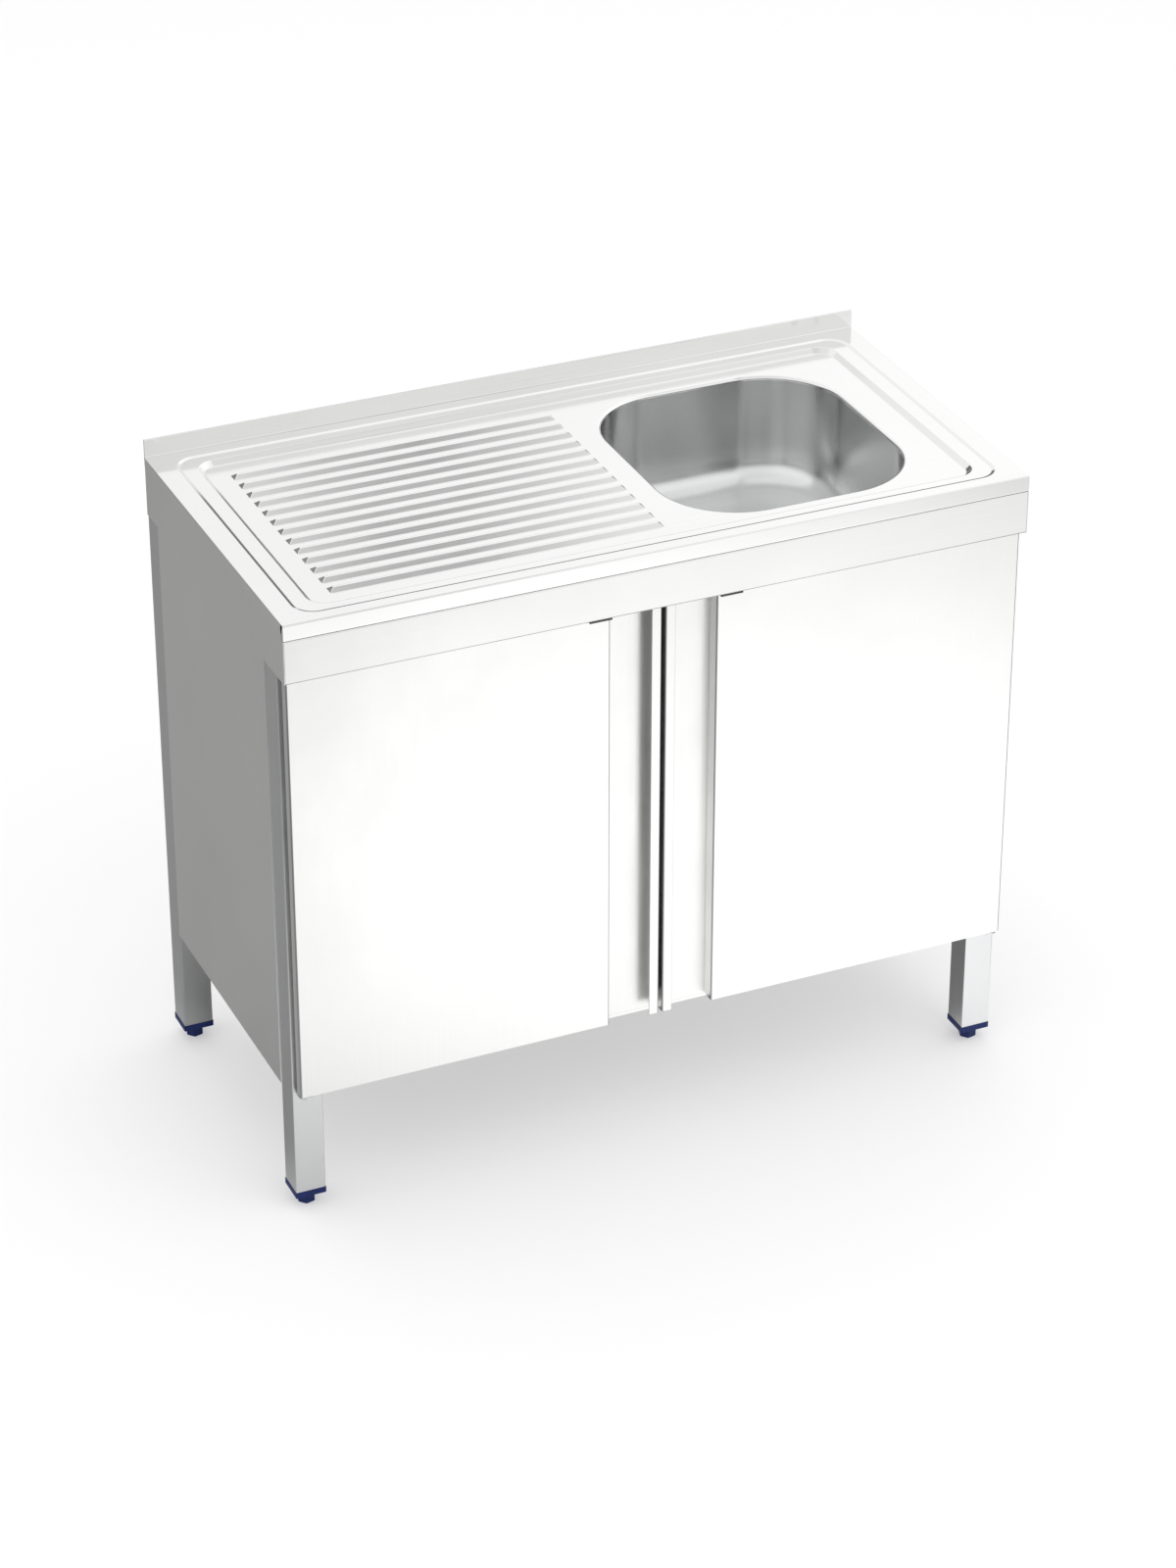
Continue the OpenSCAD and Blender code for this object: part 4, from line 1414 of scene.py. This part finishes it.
@dataclass
class Studio:
    """A pale floor with painted shadows that only metal mirrors, soft lamps, and a white surround with grey
    cards for the metal to mirror.

    Attributes:
        aim: What the lamps face.
        key_place: Where the front lamp hangs.
        key_size: The side of its square.
        key_power: Its power in watts.
        top_place: Where the upper lamp hangs.
        top_size: The side of its square.
        top_share: Its share of the front lamp's power.
        fill: The surround's plain light on everything that doesn't mirror it.
        floor_tone: The floor's colour.
        floor_glow: What the floor gives back of a white room.
        floor_reach: Half the floor's side.
        metal_tone: The floor's colour as metal mirrors it.
        pool_centre: The middle of the bright floor in front, as metal mirrors it.
        pool_span: Where that brightness starts and stops falling.
        pool_glow: The brightness there.
        rear_left_painted_shadow: The tone of the shadow painted on the floor behind at the left, as metal
            mirrors it.
        under_painted_shadow: The same, painted under the unit.
        rear_right_painted_shade: The tone of the shade painted on the floor behind at the right, as metal
            mirrors it.
        far_painted_shade: The same, painted far behind at the right.
        front_left_painted_shadow: The tone of the shadow painted on the floor in front at the left, as metal
            mirrors it.
        side_axis: Where the surround is darkest at the left.
        side_card: The tone of the surround low at the left.
        rear_card: The tone of the low band behind.
        ceiling_card: The tone overhead.
        ceiling_front: The tone overhead in front.
        ceiling_middle: Where it is darkest overhead, along X.
        ceiling_window: How much brighter it is overhead at both sides of that.
        front_card: The tone in front, where the photographer stands.
        right_glow: The brightness at the right.
    """

    aim: Triple = (0.0, 0.0, 0.4)
    key_place: Triple = (1.2, -3.2, 4.2)
    key_size: float = 3.4
    key_power: float = 40.0
    top_place: Triple = (0.2, 0.8, 4.4)
    top_size: float = 3.0
    top_share: float = 0.6
    fill: float = 1.06
    floor_tone: float = 0.55
    floor_glow: float = 0.37
    floor_reach: float = 12.0
    metal_tone: float = 0.45
    pool_centre: Triple = (0.45, -0.98, 0.0)
    pool_span: Pair = (0.52, 1.24)
    pool_glow: Pair = (0.80, 0.24)
    rear_left_painted_shadow: float = 0.40
    under_painted_shadow: float = 0.22
    rear_right_painted_shade: float = 0.22
    far_painted_shade: float = 0.20
    front_left_painted_shadow: float = 0.35
    side_axis: Triple = (-0.93, 0.36, -0.05)
    side_card: float = 0.20
    rear_card: float = 0.18
    ceiling_card: float = 0.38
    ceiling_front: float = 0.78
    ceiling_middle: float = 0.328
    ceiling_window: float = 1.3
    front_card: float = 0.90
    right_glow: float = 1.15

    def build(self) -> None:
        """Makes the floor, the lamps and the surround."""
        self.floor()
        self.surround()
        self.lamp("key", self.key_place, self.key_size, self.key_power)
        self.lamp("top", self.top_place, self.top_size, self.key_power * self.top_share)

    def floor(self) -> None:
        """A large pale floor that stays white away from the unit's soft shadow."""
        clear_selection()
        bpy.ops.mesh.primitive_plane_add(size=self.floor_reach * 2, location=(0, 0, 0))
        ground = bpy.context.object
        ground.name = "floor"
        mat = Surface("pale_floor")
        # The floor's painted shadows and shade, darkening it only where metal mirrors it.
        cards = self.painted_floor_shadows(mat)
        middle = {0: (mat.place, "Object"), 1: self.pool_centre}
        reach = mat.add("ShaderNodeVectorMath", middle, operation="DISTANCE")
        pool = mat.ranged((reach, "Value"), *self.pool_glow, span=self.pool_span)
        metal = (mat.add("ShaderNodeLightPath"), "Is Glossy Ray")
        feeds = {
            "Base Color": mat.mixed(self.floor_tone, mat.times(cards, self.metal_tone), metal),
            "Roughness": 0.9,
            "Specular IOR Level": 0.0,
            "Emission Color": (*WHITE, 1.0),
            "Emission Strength": mat.mixed(self.floor_glow, mat.times(pool, cards), metal),
        }
        mat.feed(mat.shader, feeds)
        ground.data.materials.append(mat.material)

    def painted_floor_shadows(self, mat: Surface) -> Signal:
        """The painted shadows and shade on the floor, which only metal mirrors: behind, under the unit,
        behind at the right and to the front left.

        Args:
            mat: The floor's nodes.

        Returns:
            The tone, 1 where the floor is bare.
        """
        x, y, _ = mat.parts("Object")
        # Each card paints a shadow or shade on the floor as metal sees it.
        rear_left = mat.card(self.rear_left_painted_shadow, mat.ramp(x, -0.45, -0.55), mat.ramp(y, -0.28, -0.08))
        across = mat.math("ABSOLUTE", x)
        inwards = mat.math("ABSOLUTE", mat.math("SUBTRACT", y, 0.06))
        under = mat.card(self.under_painted_shadow, mat.ramp(across, 0.50, 0.44), mat.ramp(inwards, 0.30, 0.20))
        beside = mat.along("Object", (0.3, 1.0, 0.0))
        right_sides = mat.ramp(x, 0.64, 0.78), mat.ramp(beside, -0.35, -0.20)
        rear_right = mat.card(self.rear_right_painted_shade, *right_sides)
        far_right = mat.card(self.far_painted_shade, mat.ramp(y, 0.9, 1.3), mat.ramp(x, 0.0, 0.4))
        slant = mat.along("Object", (1.0, 0.47, 0.0))
        front = mat.ranged(slant, self.front_left_painted_shadow, 1.0, span=(-1.30, -0.95), smooth=True)
        front_left = mat.math("MAXIMUM", front, mat.ramp(y, -0.50, -0.40))
        return mat.times(rear_left, under, rear_right, far_right, front_left)

    def surround(self) -> None:
        """A world that is white to the camera, has grey cards for metal, and is a plain fill to the rest."""
        world = bpy.data.worlds.new("surround")
        bpy.context.scene.world = world
        world.use_nodes = True
        sky = Wiring(world.node_tree)
        path = sky.add("ShaderNodeLightPath")
        sharp = sky.math("MAXIMUM", (path, "Is Camera Ray"), (path, "Is Glossy Ray"))
        seen = sky.math("MAXIMUM", sharp, (path, "Is Transmission Ray"))
        tone = sky.mixed(self.sky_cards(sky), 1.0, (path, "Is Camera Ray"))
        fill = sky.add("ShaderNodeBackground", {"Color": (*WHITE, 1.0), "Strength": self.fill})
        shown = sky.add("ShaderNodeBackground", {"Color": (*WHITE, 1.0), "Strength": tone})
        feeds = {"Fac": seen, 1: (fill, "Background"), 2: (shown, "Background")}
        blend = sky.add("ShaderNodeMixShader", feeds)
        sky.add("ShaderNodeOutputWorld", {"Surface": (blend, "Shader")})

    def sky_cards(self, sky: Wiring) -> Signal:
        """The surround's tone in each direction.

        Args:
            sky: The world's nodes.

        Returns:
            The tone, 1 where the surround is white.
        """
        x, y, z = sky.parts("Generated")
        leftwards = sky.along("Generated", tuple(Vector(self.side_axis).normalized()))
        side = sky.times(leftwards, sky.ramp(z, 0.32, 0.10))
        side_tone = sky.ranged(side, 1.0, self.side_card, span=(0.10, 0.70), smooth=True)
        height = sky.along("Generated", (0.15, 0.0, 1.0))
        rear_sides = sky.ramp(y, 0.15, 0.55), sky.ramp(height, 0.40, 0.34)
        rear_tone = sky.card(self.rear_card, *rear_sides, smooth=True)
        right = sky.ranged(x, 1.0, self.right_glow, span=(0.25, 0.50))
        ahead = sky.ranged(y, self.front_card, 1.0, span=(-0.75, -0.60))
        return sky.times(side_tone, rear_tone, self.ceiling(sky), ahead, right)

    def ceiling(self, sky: Wiring) -> Signal:
        """The tone overhead: darkest in a band that the ribs' front faces mirror, paler in front of it.

        Args:
            sky: The world's nodes.

        Returns:
            The tone, 1 below the ceiling.
        """
        x, y, z = sky.parts("Generated")
        aside = sky.math("ABSOLUTE", sky.math("SUBTRACT", x, self.ceiling_middle))
        paler = self.ceiling_card * (1.0 + self.ceiling_window)
        band = sky.ranged(aside, self.ceiling_card, paler, span=(0.010, 0.040))
        tone = sky.mixed(self.ceiling_front, band, sky.ramp(y, -0.36, -0.28))
        tone = sky.mixed(tone, 1.0, sky.ramp(y, 0.10, 0.35))
        return sky.mixed(1.0, tone, sky.ranged(z, 0.0, 1.0, span=(0.62, 0.88), smooth=True))

    def lamp(self, name: str, place: Triple, size: float, power: float) -> None:
        """A square soft lamp that faces the unit.

        Args:
            name: The lamp's name.
            place: Where it hangs.
            size: The side of its square.
            power: Its power in watts.
        """
        data = bpy.data.lights.new(name, "AREA")
        data.shape, data.size, data.energy = "SQUARE", size, power
        aimed(name, data, place, self.aim).visible_glossy = False


@dataclass
class PhotoCamera:
    """The photograph's camera, fitted to the unit's straight edges.

    Attributes:
        place: Where it stands.
        target: What the middle of the frame shows.
        focal_px: Its focal length in the photograph's pixels.
        long_side_px: The photograph's long side in pixels.
        sensor_mm: The sensor's long side.
    """

    place: Triple = (-2.0589, -4.6681, 3.3334)
    target: Triple = (0.0039, 0.0, 0.3974)
    focal_px: float = 4579.2
    long_side_px: float = 1600.0
    sensor_mm: float = 36.0

    def build(self) -> None:
        """Makes the camera and lets the scene use it."""
        data = bpy.data.cameras.new("photo_camera")
        data.sensor_width = self.sensor_mm
        data.lens = self.focal_px / self.long_side_px * self.sensor_mm
        data.clip_start, data.clip_end = 0.1, 60.0
        bpy.context.scene.camera = aimed("photo_camera", data, self.place, self.target)


def main() -> None:
    """Builds and dresses the unit."""
    logging.basicConfig(level=logging.INFO, format="%(message)s")
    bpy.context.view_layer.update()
    paint = Paint()
    PhotoCamera().build()
    pieces = [Worktop(paint).build(), Bowl(paint).build(), *AdjusterFeet(paint).build()]
    pieces += Carcass(paint).dress()
    for piece in pieces:
        log.info("made %s with %d faces", piece.name, len(piece.data.polygons))
    Studio().build()
    scene = bpy.context.scene
    scene.view_settings.view_transform = "Standard"
    clear_selection()


if __name__ == "__main__":
    main()
